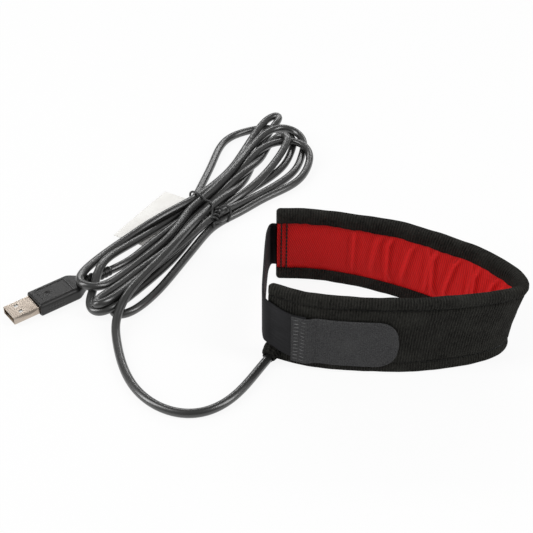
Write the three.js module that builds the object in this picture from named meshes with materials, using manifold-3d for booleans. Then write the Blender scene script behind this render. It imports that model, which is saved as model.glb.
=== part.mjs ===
// Telescope dew heater strip: a soft heated band that wraps round a lens tube, closed by an
// elastic strap with a hook tab, and fed by a thin cable that ends in a USB plug.
// Millimetres, +Z up. The band stands on its bottom edge as an open loop, its two ends on the
// left (-X), and the cable lies beside it on the same surface, wound into a tied hank.

import * as THREE from 'three';
import { mergeVertices } from 'three/addons/utils/BufferGeometryUtils.js';
import Module from 'manifold-3d';

const wasm = await Module();
wasm.setup();

// The whole strip seen from above, with its strap and tab
const loopLength = 136;
const loopWidth = 85;

// Band: the sheets it is made of, from the outside in
const bandHeight = 46.5;
const bandStep = 8;
const bendStep = 2.6;
const bendStart = 120;
const bendEnd = 162;
const coverThickness = 1.1;
const foamThickness = 1.6;
const trackThickness = 0.15;
const filmThickness = 0.2;
const liningThickness = 0.3;
const hemThickness = 1;
const layerGap = 0.2;
const topHemDepth = 7.2;
const bottomHemDepth = 7.7;
const hemOverlap = 2.6;
const edgeRounding = 1.5;
const edgeShare = 0.3;
const bandEndInset = 1.5;

// Heater and its leads
const filmMargin = 6;
const filmEndInset = 7;
const trackRuns = 4;
const trackWidth = 1.8;
const trackMargin = 2.2;
const padLength = 5;
const padWidth = 3.4;
const leadPocketLength = 15;
const leadDiameter = 1;
const leadSpacing = 1.4;
const leadHoleDiameter = 3;
const leadHoleReach = 6.6;
const leadStraight = 4.6;
const leadTurnAlong = 4.4;
const leadTurnSpread = 3.2;
const leadTurnHeight = 5;
const leadBend = 2.5;

// Thread
const threadDiameter = 0.4;
const threadGap = 0.2;
const seamWidth = 2.4;
const seamDepth = 0.8;
const threadEndInset = 1;
const topSeamDrop = 5;
const bottomSeamRise = 6.5;
const endSeamInset = 2.5;
const endSeamSpacing = 3;

// Strap and hook tab
const strapHeight = 28.5;
const strapThickness = 1.3;
const strapGap = 0.3;
const strapLevel = 20.2;
const webbingEdge = 0.4;
const strapFarTail = 13;
const strapNearTail = 22;
const tabHeight = 30;
const tabThickness = 1.3;
const tabStart = 15;
const tabEnd = 68;
const tabRoundLength = 10;
const tabTipShare = 0.245;
const tabDrop = 5;
const tabOverhang = 0.8;
const tabLevel = 19.7;
const stitchWidth = 6;
const stitchPitch = 2.2;
const stitchMargin = 0.8;
const stitchEndMargin = 3;

// Cable, hank and what is on them
const cableDiameter = 4.8;
const cableSides = 10;
const cableStep = 11;
const fitGap = 0.3;
const sleeveMouthDiameter = 7;
const sleeveLength = 5.2;
const sleeveWidth = 10;
const sleeveHeight = 8.4;
const sleeveDistance = 4.6;
const hankBottom = 2;
const hankHeight = 13;
const hankWaist = 25.4;
const hankCorners = 45;
const tieWire = 1;
const tieTailLength = 7;
const tieKnotLength = 2.4;
const tagLength = 52;
const tagWidth = 22;
const tagThickness = 0.4;

// USB plug
const plugBodyLength = 25;
const plugTaperLength = 8;
const plugShoulderShare = 0.6;
const plugShoulderWidth = 10.5;
const plugShoulderHeight = 7.4;
const plugBodyWidth = 16.2;
const plugBodyHeight = 8;
const plugRearWidth = 9;
const plugRearHeight = 7;
const plugEdge = 0.8;
const shellLength = 15.6;
const shellSeat = 4.5;
const shellWidth = 12;
const shellHeight = 4.5;
const shellWall = 0.35;
const shellWindow = 2.3;
const shellWindowReach = 6;
const shellWindowSpacing = 5.4;
const tongueThickness = 1.9;
const tongueInset = 1;
const contactInset = 1;
const contactLength = 7;
const contactWidth = 1;
const contactPitch = 2.3;
const contactThickness = 0.2;
const reliefLength = 15;
const reliefRibs = 5;
const reliefRadius = 3.4;
const reliefNeck = 2.7;
const reliefTaper = 0.12;
const reliefRibShare = 0.55;
const reliefSlopeShare = 0.05;

// The band seen from above, on the floor and at its top edge, from its near end round to its far
// end: shares of the loop's length and width, counted from the middle of the loop
const bottomShares = [
  [-0.474, -0.329], [-0.327, -0.427], [-0.121, -0.473], [0.118, -0.472], [0.331, -0.402],
  [0.43, -0.324], [0.462, -0.247], [0.449, -0.177], [0.342, 0.006], [0.165, 0.206],
  [-0.085, 0.389], [-0.287, 0.469], [-0.434, 0.479],
];
const topShares = [
  [-0.474, -0.329], [-0.327, -0.427], [-0.121, -0.473], [0.118, -0.474], [0.338, -0.428],
  [0.434, -0.389], [0.485, -0.345], [0.502, -0.277], [0.484, -0.165], [0.366, 0.046],
  [0.27, 0.155], [0.068, 0.324], [-0.122, 0.414], [-0.287, 0.469], [-0.434, 0.479],
];

// The strap's route round the open gap: its distance from the band's far end, then from its near
// end, with its rise above strapLevel, and then how it comes down along the near side
const strapRoundFar = [[-2.6, 0.5, 0.4], [-4.6, -5.5, 1.2], [-5.6, -16, 2.2]];
const strapRoundNear = [[-1.6, 25, 4.4], [-2.6, 10, 5.8], [-2.6, 3.5, 6.3], [-1.4, -1, 6]];
const strapFall = [[4, 3.4], [9, 1.2]];

// The cable leaves the cover beside the band's near end, and what lies along it is placed
// from that exit
const exitAlong = 2.9;
const exitStandoff = 2.8;
const cablePath = [
  [-3.4, -6.1], [-10.1, -18], [-17.6, -27.4], [-27.4, -36.4], [-37.3, -40.8], [-47.2, -41.7],
  [-57.3, -39.2], [-67.9, -31.7], [-75.9, -20.9], [-82.5, -5.4], [-86.1, 9.2], [-86.9, 26.7],
];
const hankOutline = [
  [-108.1, 57], [-100.1, 34], [-87.1, 26.4], [-71.1, 34], [-54.1, 67], [-30.1, 113], [0.9, 142],
  [20.9, 165], [23.9, 203], [5.9, 228], [-17.1, 220], [-31.1, 191], [-46.1, 130], [-76.1, 113],
  [-99.1, 85],
];
const tiePlace = [-38.1, 121.5];
const hankHeading = 48;
const tagCorner = [-64.1, 150];
const tagHeading = 238;
const plugPlace = [-128.7, 40.2];
const plugHeading = 37.4;

// Twist tie: its place across and up the hank, as shares of its half sizes, and its lean along
// the hank in wire thicknesses; its two ends run on from the first and last of these, outward
const tieShares = [
  [1, 0.41, -1], [1, 0.86, -0.9], [0.92, 1, -0.8], [0, 1, -0.5], [-0.92, 1, 0], [-1, 0.86, 0.1],
  [-1, -0.86, 0.2], [-0.92, -1, 0.3], [0, -1, 0.6], [0.92, -1, 0.9], [1, -0.86, 1], [1, -0.41, 1.1],
];
const tieFirstShares = [[-0.14, -1.4], [-0.55, -2.2]];
const tieLastShares = [[0.14, 1.7], [0.41, 2.8]];

// The depths at which each sheet of the band starts, counted inward from the outer face
const foamDepth = coverThickness + layerGap;
const trackDepth = foamDepth + foamThickness + layerGap;
const filmDepth = trackDepth + trackThickness + layerGap;
const liningDepth = filmDepth + filmThickness + layerGap;
const hemDepth = liningDepth + liningThickness + layerGap;
const bandThickness = hemDepth + hemThickness;

const degrees = THREE.MathUtils.degToRad;

// A curve of the band's outer face at one height
function faceCurve(path, height) {
  const points = path.map(([x, y]) => new THREE.Vector3(x * loopLength, y * loopWidth, height));
  const curve = new THREE.CatmullRomCurve3(points, false, 'centripetal');
  curve.arcLengthDivisions = 800;
  return curve;
}

const bottomCurve = faceCurve(bottomShares, 0);
const topCurve = faceCurve(topShares, bandHeight);
const bandLength = (bottomCurve.getLength() + topCurve.getLength()) / 2;

// Places along the band where its sheets bend, closer together round the sharp bend
function evenPlaces(from, to, step) {
  const steps = Math.ceil((to - from) / step);
  return Array.from({ length: steps }, (_, index) => from + ((to - from) * index) / steps);
}

const bandPlaces = [
  ...evenPlaces(0, bendStart, bandStep),
  ...evenPlaces(bendStart, bendEnd, bendStep),
  ...evenPlaces(bendEnd, bandLength, bandStep),
  bandLength,
];

// The band's outer face is ruled between a curve on the floor and one at the top edge, and
// every sheet is bent over these same stations
const bandStations = bandPlaces.map((place) => [bottomCurve, topCurve].map((curve) => {
  const tangent = curve.getTangentAt(place / bandLength);
  return {
    point: curve.getPointAt(place / bandLength),
    inward: new THREE.Vector3(-tangent.y, tangent.x, 0).normalize(),
  };
}));

// A point of the band: along from its near end, deep from its outer face, at a height
function bandPoint(along, depth, height) {
  const next = Math.max(1, bandPlaces.findIndex((place) => place >= Math.min(along, bandLength)));
  const share = (along - bandPlaces[next - 1]) / (bandPlaces[next] - bandPlaces[next - 1]);
  const rise = height / bandHeight;
  const corner = (side) => [next - 1, next].map((index) => {
    const { point, inward } = bandStations[index][side];
    return point.clone().addScaledVector(inward, depth);
  });
  const bottom = corner(0)[0].lerp(corner(0)[1], share);
  const top = corner(1)[0].lerp(corner(1)[1], share);
  return new THREE.Vector3().lerpVectors(bottom, top, rise).setZ(height);
}

// The distances at which a sheet is bent: its two ends and each band station between them
function bendPlaces(from, to) {
  return [from, ...bandPlaces.filter((place) => place > from + 0.3 && place < to - 0.3), to];
}

function solidVolume(geometry) {
  const position = geometry.getAttribute('position');
  const corner = [new THREE.Vector3(), new THREE.Vector3(), new THREE.Vector3()];
  let volume = 0;
  for (let index = 0; index < position.count; index += 3) {
    corner.forEach((point, offset) => point.fromBufferAttribute(position, index + offset));
    volume += corner[0].dot(corner[1].clone().cross(corner[2])) / 6;
  }
  return volume;
}

// Turns a bent geometry's faces outward, where the bend has mirrored it
function faceOutward(geometry) {
  if (solidVolume(geometry) < 0) {
    const { array } = geometry.getAttribute('position');
    for (let index = 0; index < array.length; index += 9) {
      for (let axis = 0; axis < 3; axis += 1) {
        const second = array[index + 3 + axis];
        array[index + 3 + axis] = array[index + 6 + axis];
        array[index + 6 + axis] = second;
      }
    }
  }
  geometry.computeVertexNormals();
  return geometry;
}

// A flat outline carried from place to place. The diagonal of every face rises the same way
// along the sweep, so that twisted sheets which lie close together stay apart.
function carryOutline(outline, places, placeAt) {
  const rings = places.map((place) => outline.map(([a, b]) => placeAt(place, a, b)));
  const corners = [];
  const triangle = (...points) => points.forEach((point) => corners.push(...point.toArray()));
  rings.slice(1).forEach((ring, index) => {
    const last = rings[index];
    outline.forEach(([, height], edge) => {
      const next = (edge + 1) % outline.length;
      if (outline[next][1] >= height) {
        triangle(last[edge], last[next], ring[next]);
        triangle(last[edge], ring[next], ring[edge]);
      } else {
        triangle(last[edge], last[next], ring[edge]);
        triangle(last[next], ring[next], ring[edge]);
      }
    });
  });
  const flat = outline.map(([a, b]) => new THREE.Vector2(a, b));
  THREE.ShapeUtils.triangulateShape(flat, []).forEach(([a, b, c]) => {
    triangle(rings[0][a], rings[0][c], rings[0][b]);
    triangle(rings.at(-1)[a], rings.at(-1)[b], rings.at(-1)[c]);
  });
  const geometry = new THREE.BufferGeometry();
  geometry.setAttribute('position', new THREE.Float32BufferAttribute(corners, 3));
  return faceOutward(geometry);
}

function bandSheet(outline, from, to) {
  return carryOutline(outline, bendPlaces(from, to), bandPoint);
}

function rectangle(left, right, low, high) {
  return [[left, low], [right, low], [right, high], [left, high]];
}

function roundedRectangle(width, height, radius) {
  const w = width / 2;
  const h = height / 2;
  return [
    [-w + radius, -h], [w - radius, -h], [w, -h + radius], [w, h - radius],
    [w - radius, h], [-w + radius, h], [-w, h - radius], [-w, -h + radius],
  ];
}

function polygon(diameter, sides) {
  const corners = [];
  for (let side = 0; side < sides; side += 1) {
    const angle = ((side + 0.5) / sides) * 2 * Math.PI;
    corners.push([(diameter / 2) * Math.cos(angle), (diameter / 2) * Math.sin(angle)]);
  }
  return corners;
}

// A round thing along a curve, in even steps
function tube(curve, diameter, sides, step) {
  const shape = new THREE.Shape(polygon(diameter, sides).map(([a, b]) => new THREE.Vector2(a, b)));
  const steps = Math.max(2, Math.round(curve.getLength() / step));
  const geometry = new THREE.ExtrudeGeometry(shape, { steps, extrudePath: curve, bevelEnabled: false });
  return faceOutward(geometry);
}

function toSolid(geometry) {
  const plain = geometry.clone();
  plain.deleteAttribute('normal');
  plain.deleteAttribute('uv');
  const merged = mergeVertices(plain, 1e-4);
  return new wasm.Manifold(new wasm.Mesh({
    numProp: 3,
    vertProperties: new Float32Array(merged.getAttribute('position').array),
    triVerts: new Uint32Array(merged.getIndex().array),
  }));
}

function toGeometry(solid) {
  const mesh = solid.getMesh();
  const indexed = new THREE.BufferGeometry();
  indexed.setAttribute('position', new THREE.BufferAttribute(mesh.vertProperties, 3));
  indexed.setIndex(new THREE.BufferAttribute(mesh.triVerts, 1));
  const geometry = indexed.toNonIndexed();
  geometry.computeVertexNormals();
  return geometry;
}

function cut(geometry, ...tools) {
  return toGeometry(tools.reduce((solid, tool) => solid.subtract(toSolid(tool)), toSolid(geometry)));
}

function join(...geometries) {
  return toGeometry(geometries.map(toSolid).reduce((solid, next) => solid.add(next)));
}

function boxBetween(low, high) {
  const size = high.map((value, axis) => value - low[axis]);
  const geometry = new THREE.BoxGeometry(...size);
  return geometry.translate(...low.map((value, axis) => value + size[axis] / 2));
}

function piece(name, geometry, [color, roughness, metalness = 0]) {
  const material = new THREE.MeshStandardMaterial({ color, roughness, metalness });
  const mesh = new THREE.Mesh(geometry, material);
  mesh.name = name;
  return mesh;
}

const pile = [0x1c1c1b, 0.95];
const redNylon = [0xc4161c, 0.6];
const elastic = [0x37373a, 0.85];
const hookCloth = [0x3c3c3d, 0.9];
const blackThread = [0x101010, 0.8];
const greyThread = [0x8a8a88, 0.8];
const greyFoam = [0x5b5d60, 0.95];
const amberFilm = [0xb8742a, 0.35];
const foil = [0xb9bcc0, 0.35, 1];
const copper = [0xb87333, 0.35, 1];
const blackJacket = [0x2c2c2b, 0.35];
const plugBlack = [0x242424, 0.5];
const bareSteel = [0xb7b2ab, 0.28, 1];
const whitePlastic = [0xe8e8e4, 0.45];
const gold = [0xd4a84a, 0.3, 1];
const paper = [0xf3f2ea, 0.85];

// Cover: one sheet with both edges folded over inward and laid back as hems
function coverOutline() {
  const outer = coverThickness;
  const inner = hemDepth;
  const wide = bandThickness;
  const soft = edgeRounding;
  const inset = edgeRounding * edgeShare;
  const topHem = bandHeight - topHemDepth;
  const topInside = bandHeight - coverThickness;
  const seam = (height) => [
    [0, height + seamWidth / 2], [seamDepth, height], [0, height - seamWidth / 2],
  ];
  return [
    ...seam(bandHeight - topSeamDrop), ...seam(bottomSeamRise),
    [0, soft], [inset, inset], [soft, 0], [wide - soft, 0], [wide - inset, inset],
    [wide, soft], [wide, bottomHemDepth], [inner, bottomHemDepth], [inner, coverThickness],
    [outer, coverThickness], [outer, topInside], [inner, topInside], [inner, topHem], [wide, topHem],
    [wide, bandHeight - soft], [wide - inset, bandHeight - inset], [wide - soft, bandHeight],
    [soft, bandHeight], [inset, bandHeight - inset], [0, bandHeight - soft],
  ];
}

// The point where the leads pass through the cover, and the cable's heading away from it
const exitPoint = bandPoint(exitAlong, -exitStandoff, cableDiameter / 2);
const exitHeading = new THREE.Vector3(...cablePath[0], 0).normalize();

// A place beside the strip, counted from the exit, at its own height
function besideExit([x, y], height = 0) {
  return new THREE.Vector3(exitPoint.x + x, exitPoint.y + y, height);
}

function rodAlong(start, heading, length, diameter, sides) {
  const geometry = new THREE.CylinderGeometry(diameter / 2, diameter / 2, length, sides);
  geometry.translate(0, length / 2, 0);
  geometry.applyQuaternion(new THREE.Quaternion().setFromUnitVectors(new THREE.Vector3(0, 1, 0), heading));
  return geometry.translate(start.x, start.y, start.z);
}

// The hole that the leads come in through, from the cable's end to the pocket in the band
function makeLeadHole() {
  const start = exitPoint.clone().addScaledVector(exitHeading, -leadHoleReach);
  return rodAlong(start, exitHeading, leadHoleReach, leadHoleDiameter, 12);
}

function makeCover() {
  const wall = bandSheet(coverOutline(), 0, bandLength);
  return cut(wall, makeLeadHole());
}

function makeFoam() {
  const low = coverThickness + layerGap;
  const high = bandHeight - coverThickness - layerGap;
  const sheet = rectangle(foamDepth, foamDepth + foamThickness, low, high);
  return bandSheet(sheet, leadPocketLength, bandLength - bandEndInset);
}

function makeFilm() {
  const sheet = rectangle(filmDepth, filmDepth + filmThickness, filmMargin, bandHeight - filmMargin);
  return bandSheet(sheet, filmEndInset, bandLength - filmEndInset);
}

function makeLining() {
  const low = bottomHemDepth - hemOverlap;
  const high = bandHeight - topHemDepth + hemOverlap;
  const sheet = rectangle(liningDepth, liningDepth + liningThickness, low, high);
  return bandSheet(sheet, 0, bandLength);
}

// The middle height of each lengthwise run of the heater track
const trackHeights = Array.from({ length: trackRuns }, (_, run) => {
  const low = filmMargin + trackMargin + trackWidth / 2;
  const high = bandHeight - filmMargin - trackMargin - trackWidth / 2;
  return low + ((high - low) * run) / (trackRuns - 1);
});

// Track: lengthwise runs joined by a turn at alternate ends, so that both feeds start together
function makeTrack() {
  const from = filmEndInset + padLength + layerGap;
  const to = bandLength - filmEndInset - trackMargin;
  const back = trackDepth + trackThickness;
  const strips = trackHeights.map((height) => bandSheet(
    rectangle(trackDepth, back, height - trackWidth / 2, height + trackWidth / 2), from, to,
  ));
  for (let run = 0; run < trackRuns - 1; run += 1) {
    const start = run % 2 === 0 ? to - trackWidth : from;
    const low = trackHeights[run] - trackWidth / 2;
    const high = trackHeights[run + 1] + trackWidth / 2;
    strips.push(bandSheet(rectangle(trackDepth, back, low, high), start, start + trackWidth));
  }
  return join(...strips);
}

function makePad(height) {
  const sheet = rectangle(
    trackDepth, trackDepth + trackThickness, height - padWidth / 2, height + padWidth / 2,
  );
  return bandSheet(sheet, filmEndInset, filmEndInset + padLength);
}

// A lead: out of the cable's end, through the cover, and along the pocket to its pad
function makeLead(side, padHeight) {
  const across = new THREE.Vector3(-exitHeading.y, exitHeading.x, 0);
  const centre = trackDepth - layerGap - leadDiameter / 2;
  const reach = (distance) => exitPoint.clone()
    .addScaledVector(exitHeading, -distance)
    .addScaledVector(across, (side * leadSpacing) / 2);
  const turn = leadTurnAlong + (side * leadTurnSpread) / 2;
  const end = filmEndInset + padLength / 2;
  const points = [
    reach(fitGap), reach(leadStraight / 2), reach(leadStraight),
    bandPoint(turn, centre, leadTurnHeight),
    bandPoint(end - leadBend, centre, padHeight - leadBend), bandPoint(end, centre, padHeight),
  ];
  return tube(new THREE.CatmullRomCurve3(points, false, 'centripetal'), leadDiameter, 8, 1.6);
}

// Thread laid in the groove that its stitches pull into the cover
function makeLongSeam(height) {
  const half = threadDiameter / 2;
  const deep = seamDepth - 1.5 * threadGap;
  const section = rectangle(deep - threadDiameter, deep, height - half, height + half);
  return bandSheet(section, threadEndInset, bandLength - threadEndInset);
}

function makeEndSeam(inset) {
  const front = hemDepth;
  const low = bottomHemDepth + threadGap;
  const high = bandHeight - topHemDepth - threadGap;
  const at = bandLength - inset;
  return bandSheet(rectangle(front, front + threadDiameter, low, high), at - threadDiameter, at);
}

// Strap: held behind the far end, round the outside of the gap and on along the near side
const strapMiddle = -(strapGap + strapThickness / 2);

function strapCurve() {
  const beside = (end, route) => route.map(([x, y, rise]) => bandPoint(end, 0, strapLevel)
    .add(new THREE.Vector3(x, y, rise)));
  const against = (along, rise) => bandPoint(along, strapMiddle, strapLevel + rise);
  return new THREE.CatmullRomCurve3([
    against(bandLength - strapFarTail, 0),
    against(bandLength - strapFarTail / 2, 0),
    against(bandLength - webbingEdge, 0),
    ...beside(bandLength, strapRoundFar),
    ...beside(0, strapRoundNear),
    ...strapFall.map(([along, rise]) => against(along, rise)),
    against(tabStart, 0),
    against(strapNearTail, 0),
  ], false, 'centripetal');
}

// An upright ribbon: its section stands on a curve, thickness across it and height upward
function ribbon(curve, outline, steps, heightAt = () => 1) {
  const places = Array.from({ length: steps + 1 }, (_, step) => step / steps);
  return carryOutline(outline, places, (share, across, up) => {
    const tangent = curve.getTangentAt(share);
    const side = new THREE.Vector3(tangent.y, -tangent.x, 0).normalize();
    const point = curve.getPointAt(share).addScaledVector(side, across);
    return point.setZ(point.z + up * heightAt(share));
  });
}

function makeStrap() {
  return ribbon(strapCurve(), roundedRectangle(strapThickness, strapHeight, webbingEdge), 36);
}

// Tab: over the strap's end where they are sewn together, then down onto the cover
function makeTab() {
  const onCover = -(strapGap + tabThickness / 2);
  const onStrap = onCover - strapThickness - strapGap;
  const landing = strapNearTail + tabDrop;
  const roundStart = tabEnd - tabRoundLength;
  const places = [
    [tabStart, onStrap], [strapNearTail - tabDrop / 2, onStrap], [strapNearTail + tabOverhang, onStrap],
    [landing, onCover], [(2 * landing + roundStart) / 3, onCover],
    [(landing + 2 * roundStart) / 3, onCover], [roundStart, onCover], [tabEnd, onCover],
  ];
  const points = places.map(([along, depth]) => bandPoint(along, depth, tabLevel));
  const curve = new THREE.CatmullRomCurve3(points, false, 'centripetal');
  const straight = 1 - tabRoundLength / (tabEnd - tabStart);
  const heightAt = (share) => {
    const round = Math.max(0, (share - straight) / (1 - straight));
    return Math.sqrt(1 - (1 - tabTipShare ** 2) * round ** 2);
  };
  return ribbon(curve, roundedRectangle(tabThickness, tabHeight, webbingEdge), 30, heightAt);
}

// Zigzag thread over the tab's sewn end
function makeTabStitching() {
  const depth = -(2 * strapGap + strapThickness + tabThickness + threadGap + threadDiameter / 2);
  const rows = Math.floor((tabHeight - 2 * stitchEndMargin) / stitchPitch);
  const points = [];
  for (let row = 0; row <= rows; row += 1) {
    const along = tabStart + stitchMargin + (row % 2) * (stitchWidth - 2 * stitchMargin);
    const height = tabLevel + tabHeight / 2 - stitchEndMargin - row * stitchPitch;
    points.push(bandPoint(along, depth, height));
  }
  const curve = new THREE.CatmullRomCurve3(points, false, 'catmullrom', 0.2);
  return tube(curve, threadDiameter, 6, curve.getLength() / (rows * 3));
}

// Sleeve: gathered cloth between the cover's corner and the cable, bored for the cable
function makeSleeve() {
  const rings = 5;
  const outline = polygon(1, 16);
  const back = exitPoint.clone().addScaledVector(exitHeading, -sleeveDistance);
  const side = new THREE.Vector3(-exitHeading.y, exitHeading.x, 0);
  const places = Array.from({ length: rings }, (_, ring) => ring / (rings - 1));
  const body = carryOutline(outline, places, (share, a, b) => {
    const ease = share * share * (3 - 2 * share);
    const width = THREE.MathUtils.lerp(sleeveWidth, sleeveMouthDiameter, ease);
    const height = THREE.MathUtils.lerp(sleeveHeight, sleeveMouthDiameter, ease);
    const level = Math.max(height / 2 + layerGap, exitPoint.z);
    const centre = back.clone().addScaledVector(exitHeading, share * sleeveLength).setZ(level);
    return centre.addScaledVector(side, a * width).setZ(Math.max(layerGap, level + b * height));
  });
  const wallClear = bandSheet(
    rectangle(-fitGap, 2 * bandThickness, -edgeRounding, bandHeight), -fitGap, bandLength / 4,
  );
  const bore = rodAlong(exitPoint.clone().addScaledVector(exitHeading, -fitGap),
    exitHeading, sleeveLength, cableDiameter + 2 * fitGap, 16);
  return cut(body, wallClear, bore, makeLeadHole());
}

function makeCable() {
  const points = [exitPoint, exitPoint.clone().addScaledVector(exitHeading, cableDiameter / 2)];
  cablePath.forEach((place) => points.push(besideExit(place, cableDiameter / 2)));
  const curve = new THREE.CatmullRomCurve3(points, false, 'centripetal');
  return tube(curve, cableDiameter, cableSides, cableStep);
}

// The plug's own frame: its tip points to -X, and its cable leaves it to +X
function plugFrame() {
  const frame = new THREE.Group();
  frame.position.copy(besideExit(plugPlace, plugBodyHeight / 2));
  frame.rotation.z = degrees(plugHeading);
  return frame;
}

// A closed block along X whose width and height change at each place
function taperedBlock(places, edge) {
  const square = 2;
  const chamfer = 0.2;
  return carryOutline(roundedRectangle(square, square, chamfer), places, ([x, width, height], a, b) => {
    const inset = (value) => ((square / 2 - Math.abs(value)) * edge) / chamfer;
    const corner = (value, size) => Math.sign(value) * (size / 2 - inset(value));
    return new THREE.Vector3(x, corner(a, width), corner(b, height));
  });
}

function makePlugBody() {
  const end = plugBodyLength + plugTaperLength;
  const body = taperedBlock([
    [0, plugBodyWidth - plugEdge, plugBodyHeight - plugEdge],
    [plugEdge, plugBodyWidth, plugBodyHeight],
    [plugBodyLength, plugBodyWidth, plugBodyHeight],
    [plugBodyLength + plugTaperLength * plugShoulderShare, plugShoulderWidth, plugShoulderHeight],
    [end, plugRearWidth, plugRearHeight],
  ], plugEdge);
  const seat = boxBetween(
    [-1, -shellWidth / 2 - fitGap, -shellHeight / 2 - fitGap],
    [shellSeat + fitGap, shellWidth / 2 + fitGap, shellHeight / 2 + fitGap],
  );
  return cut(body, seat);
}

function makeShell() {
  const outer = boxBetween(
    [-shellLength, -shellWidth / 2, -shellHeight / 2], [shellSeat, shellWidth / 2, shellHeight / 2],
  );
  const inner = boxBetween(
    [-shellLength - 1, -shellWidth / 2 + shellWall, -shellHeight / 2 + shellWall],
    [shellSeat + 1, shellWidth / 2 - shellWall, shellHeight / 2 - shellWall],
  );
  const windows = [-1, 1].map((side) => {
    const x = -shellLength + shellWindowReach;
    const y = (side * shellWindowSpacing) / 2;
    return boxBetween(
      [x - shellWindow / 2, y - shellWindow / 2, -shellHeight],
      [x + shellWindow / 2, y + shellWindow / 2, shellHeight],
    );
  });
  return cut(outer, inner, ...windows);
}

// Insulator: a block that fills the shell's rear, with the tongue that carries the contacts
function makeInsulator() {
  const halfWidth = shellWidth / 2 - shellWall - fitGap;
  const halfHeight = shellHeight / 2 - shellWall - fitGap;
  const tongueBottom = halfHeight - tongueThickness;
  const block = boxBetween([0, -halfWidth, -halfHeight], [shellSeat - fitGap, halfWidth, halfHeight]);
  const tongue = boxBetween(
    [-shellLength + tongueInset, -halfWidth, tongueBottom],
    [shellSeat - fitGap, halfWidth, halfHeight],
  );
  return join(block, tongue);
}

function makeContact(index) {
  const y = (index - 1.5) * contactPitch;
  const top = shellHeight / 2 - shellWall - fitGap - tongueThickness - fitGap / 2;
  const start = -shellLength + tongueInset + contactInset;
  return boxBetween(
    [start, y - contactWidth / 2, top - contactThickness],
    [start + contactLength, y + contactWidth / 2, top],
  );
}

// Strain relief: rings on a neck, turned round the cable's line behind the plug
function makeRelief() {
  const start = plugBodyLength + plugTaperLength + fitGap;
  const pitch = reliefLength / reliefRibs;
  const profile = [new THREE.Vector2(0, 0)];
  for (let rib = 0; rib < reliefRibs; rib += 1) {
    const crown = reliefRadius - rib * reliefTaper;
    const low = rib * pitch;
    const fall = reliefRibShare + reliefSlopeShare;
    profile.push(new THREE.Vector2(crown, low));
    profile.push(new THREE.Vector2(crown, low + pitch * reliefRibShare));
    if (rib < reliefRibs - 1) {
      profile.push(new THREE.Vector2(reliefNeck, low + pitch * fall));
      profile.push(new THREE.Vector2(reliefNeck, low + pitch * (1 - reliefSlopeShare)));
    }
  }
  profile.push(new THREE.Vector2(reliefNeck, reliefLength), new THREE.Vector2(0, reliefLength));
  const geometry = new THREE.LatheGeometry(profile, 12);
  geometry.rotateZ(-Math.PI / 2);
  return faceOutward(geometry.translate(start, 0, 0).toNonIndexed());
}

// Hank: the outer shape of the cable's turns, open underneath where the plug's rear lies
function makeHank() {
  const corners = hankOutline.map((place) => besideExit(place));
  const curve = new THREE.CatmullRomCurve3(corners, true, 'centripetal');
  const outline = curve.getSpacedPoints(hankCorners).slice(0, -1)
    .map((point) => new THREE.Vector2(point.x, point.y));
  const block = new THREE.ExtrudeGeometry(new THREE.Shape(outline), {
    depth: hankHeight, bevelEnabled: false,
  });
  block.translate(0, 0, hankBottom);
  const frame = plugFrame();
  frame.updateMatrix();
  const channel = boxBetween(
    [-shellLength, -plugBodyWidth / 2 - fitGap, -plugBodyHeight],
    [
      plugBodyLength + plugTaperLength + 2 * fitGap + reliefLength,
      plugBodyWidth / 2 + fitGap, plugBodyHeight / 2 + fitGap,
    ],
  ).applyMatrix4(frame.matrix);
  return cut(block, channel);
}

// Twist tie: one wire round the hank's waist, its two ends twisted out to the lower right
function makeTie() {
  const clear = fitGap + tieWire / 2;
  const wide = hankWaist / 2 + clear;
  const tall = hankHeight / 2 + clear;
  const middle = hankBottom + hankHeight / 2;
  const heading = degrees(hankHeading);
  const centre = besideExit(tiePlace);
  const place = (across, rise, along) => new THREE.Vector3(
    centre.x + along * tieWire * Math.cos(heading) + across * Math.sin(heading),
    centre.y + along * tieWire * Math.sin(heading) - across * Math.cos(heading),
    middle + rise * tall,
  );
  const end = (route) => route.map(([rise, lean], step) => {
    const reach = step === 0 ? tieKnotLength : tieTailLength;
    return place(wide + reach, rise, lean);
  });
  return tube(new THREE.CatmullRomCurve3([
    ...end(tieFirstShares).reverse(),
    ...tieShares.map(([across, rise, lean]) => place(across * wide, rise, lean)),
    ...end(tieLastShares),
  ], false, 'centripetal'), tieWire, 6, 2.4);
}

function makeTag() {
  const tag = boxBetween([0, 0, 0], [tagLength, tagWidth, tagThickness]);
  tag.rotateZ(degrees(tagHeading));
  const corner = besideExit(tagCorner, hankBottom - fitGap - tagThickness);
  return tag.translate(corner.x, corner.y, corner.z);
}

const strip = new THREE.Group();
strip.add(
  piece('outer_cover', makeCover(), pile),
  piece('insulation_foam', makeFoam(), greyFoam),
  piece('heater_film', makeFilm(), amberFilm),
  piece('heater_track', makeTrack(), foil),
  piece('terminal_pad_a', makePad(trackHeights[0]), copper),
  piece('terminal_pad_b', makePad(trackHeights[trackRuns - 1]), copper),
  piece('lead_wire_black', makeLead(1, trackHeights[0]), [0x181818, 0.45]),
  piece('lead_wire_red', makeLead(-1, trackHeights[trackRuns - 1]), [0xa01818, 0.45]),
  piece('red_lining', makeLining(), redNylon),
  piece('hem_thread_top', makeLongSeam(bandHeight - topSeamDrop), blackThread),
  piece('hem_thread_bottom', makeLongSeam(bottomSeamRise), blackThread),
  piece('end_stitch_a', makeEndSeam(endSeamInset), blackThread),
  piece('end_stitch_b', makeEndSeam(endSeamInset + endSeamSpacing), blackThread),
  piece('elastic_strap', makeStrap(), elastic),
  piece('hook_tab', makeTab(), hookCloth),
  piece('tab_stitching', makeTabStitching(), greyThread),
  piece('cable_sleeve', makeSleeve(), pile),
);

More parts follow.
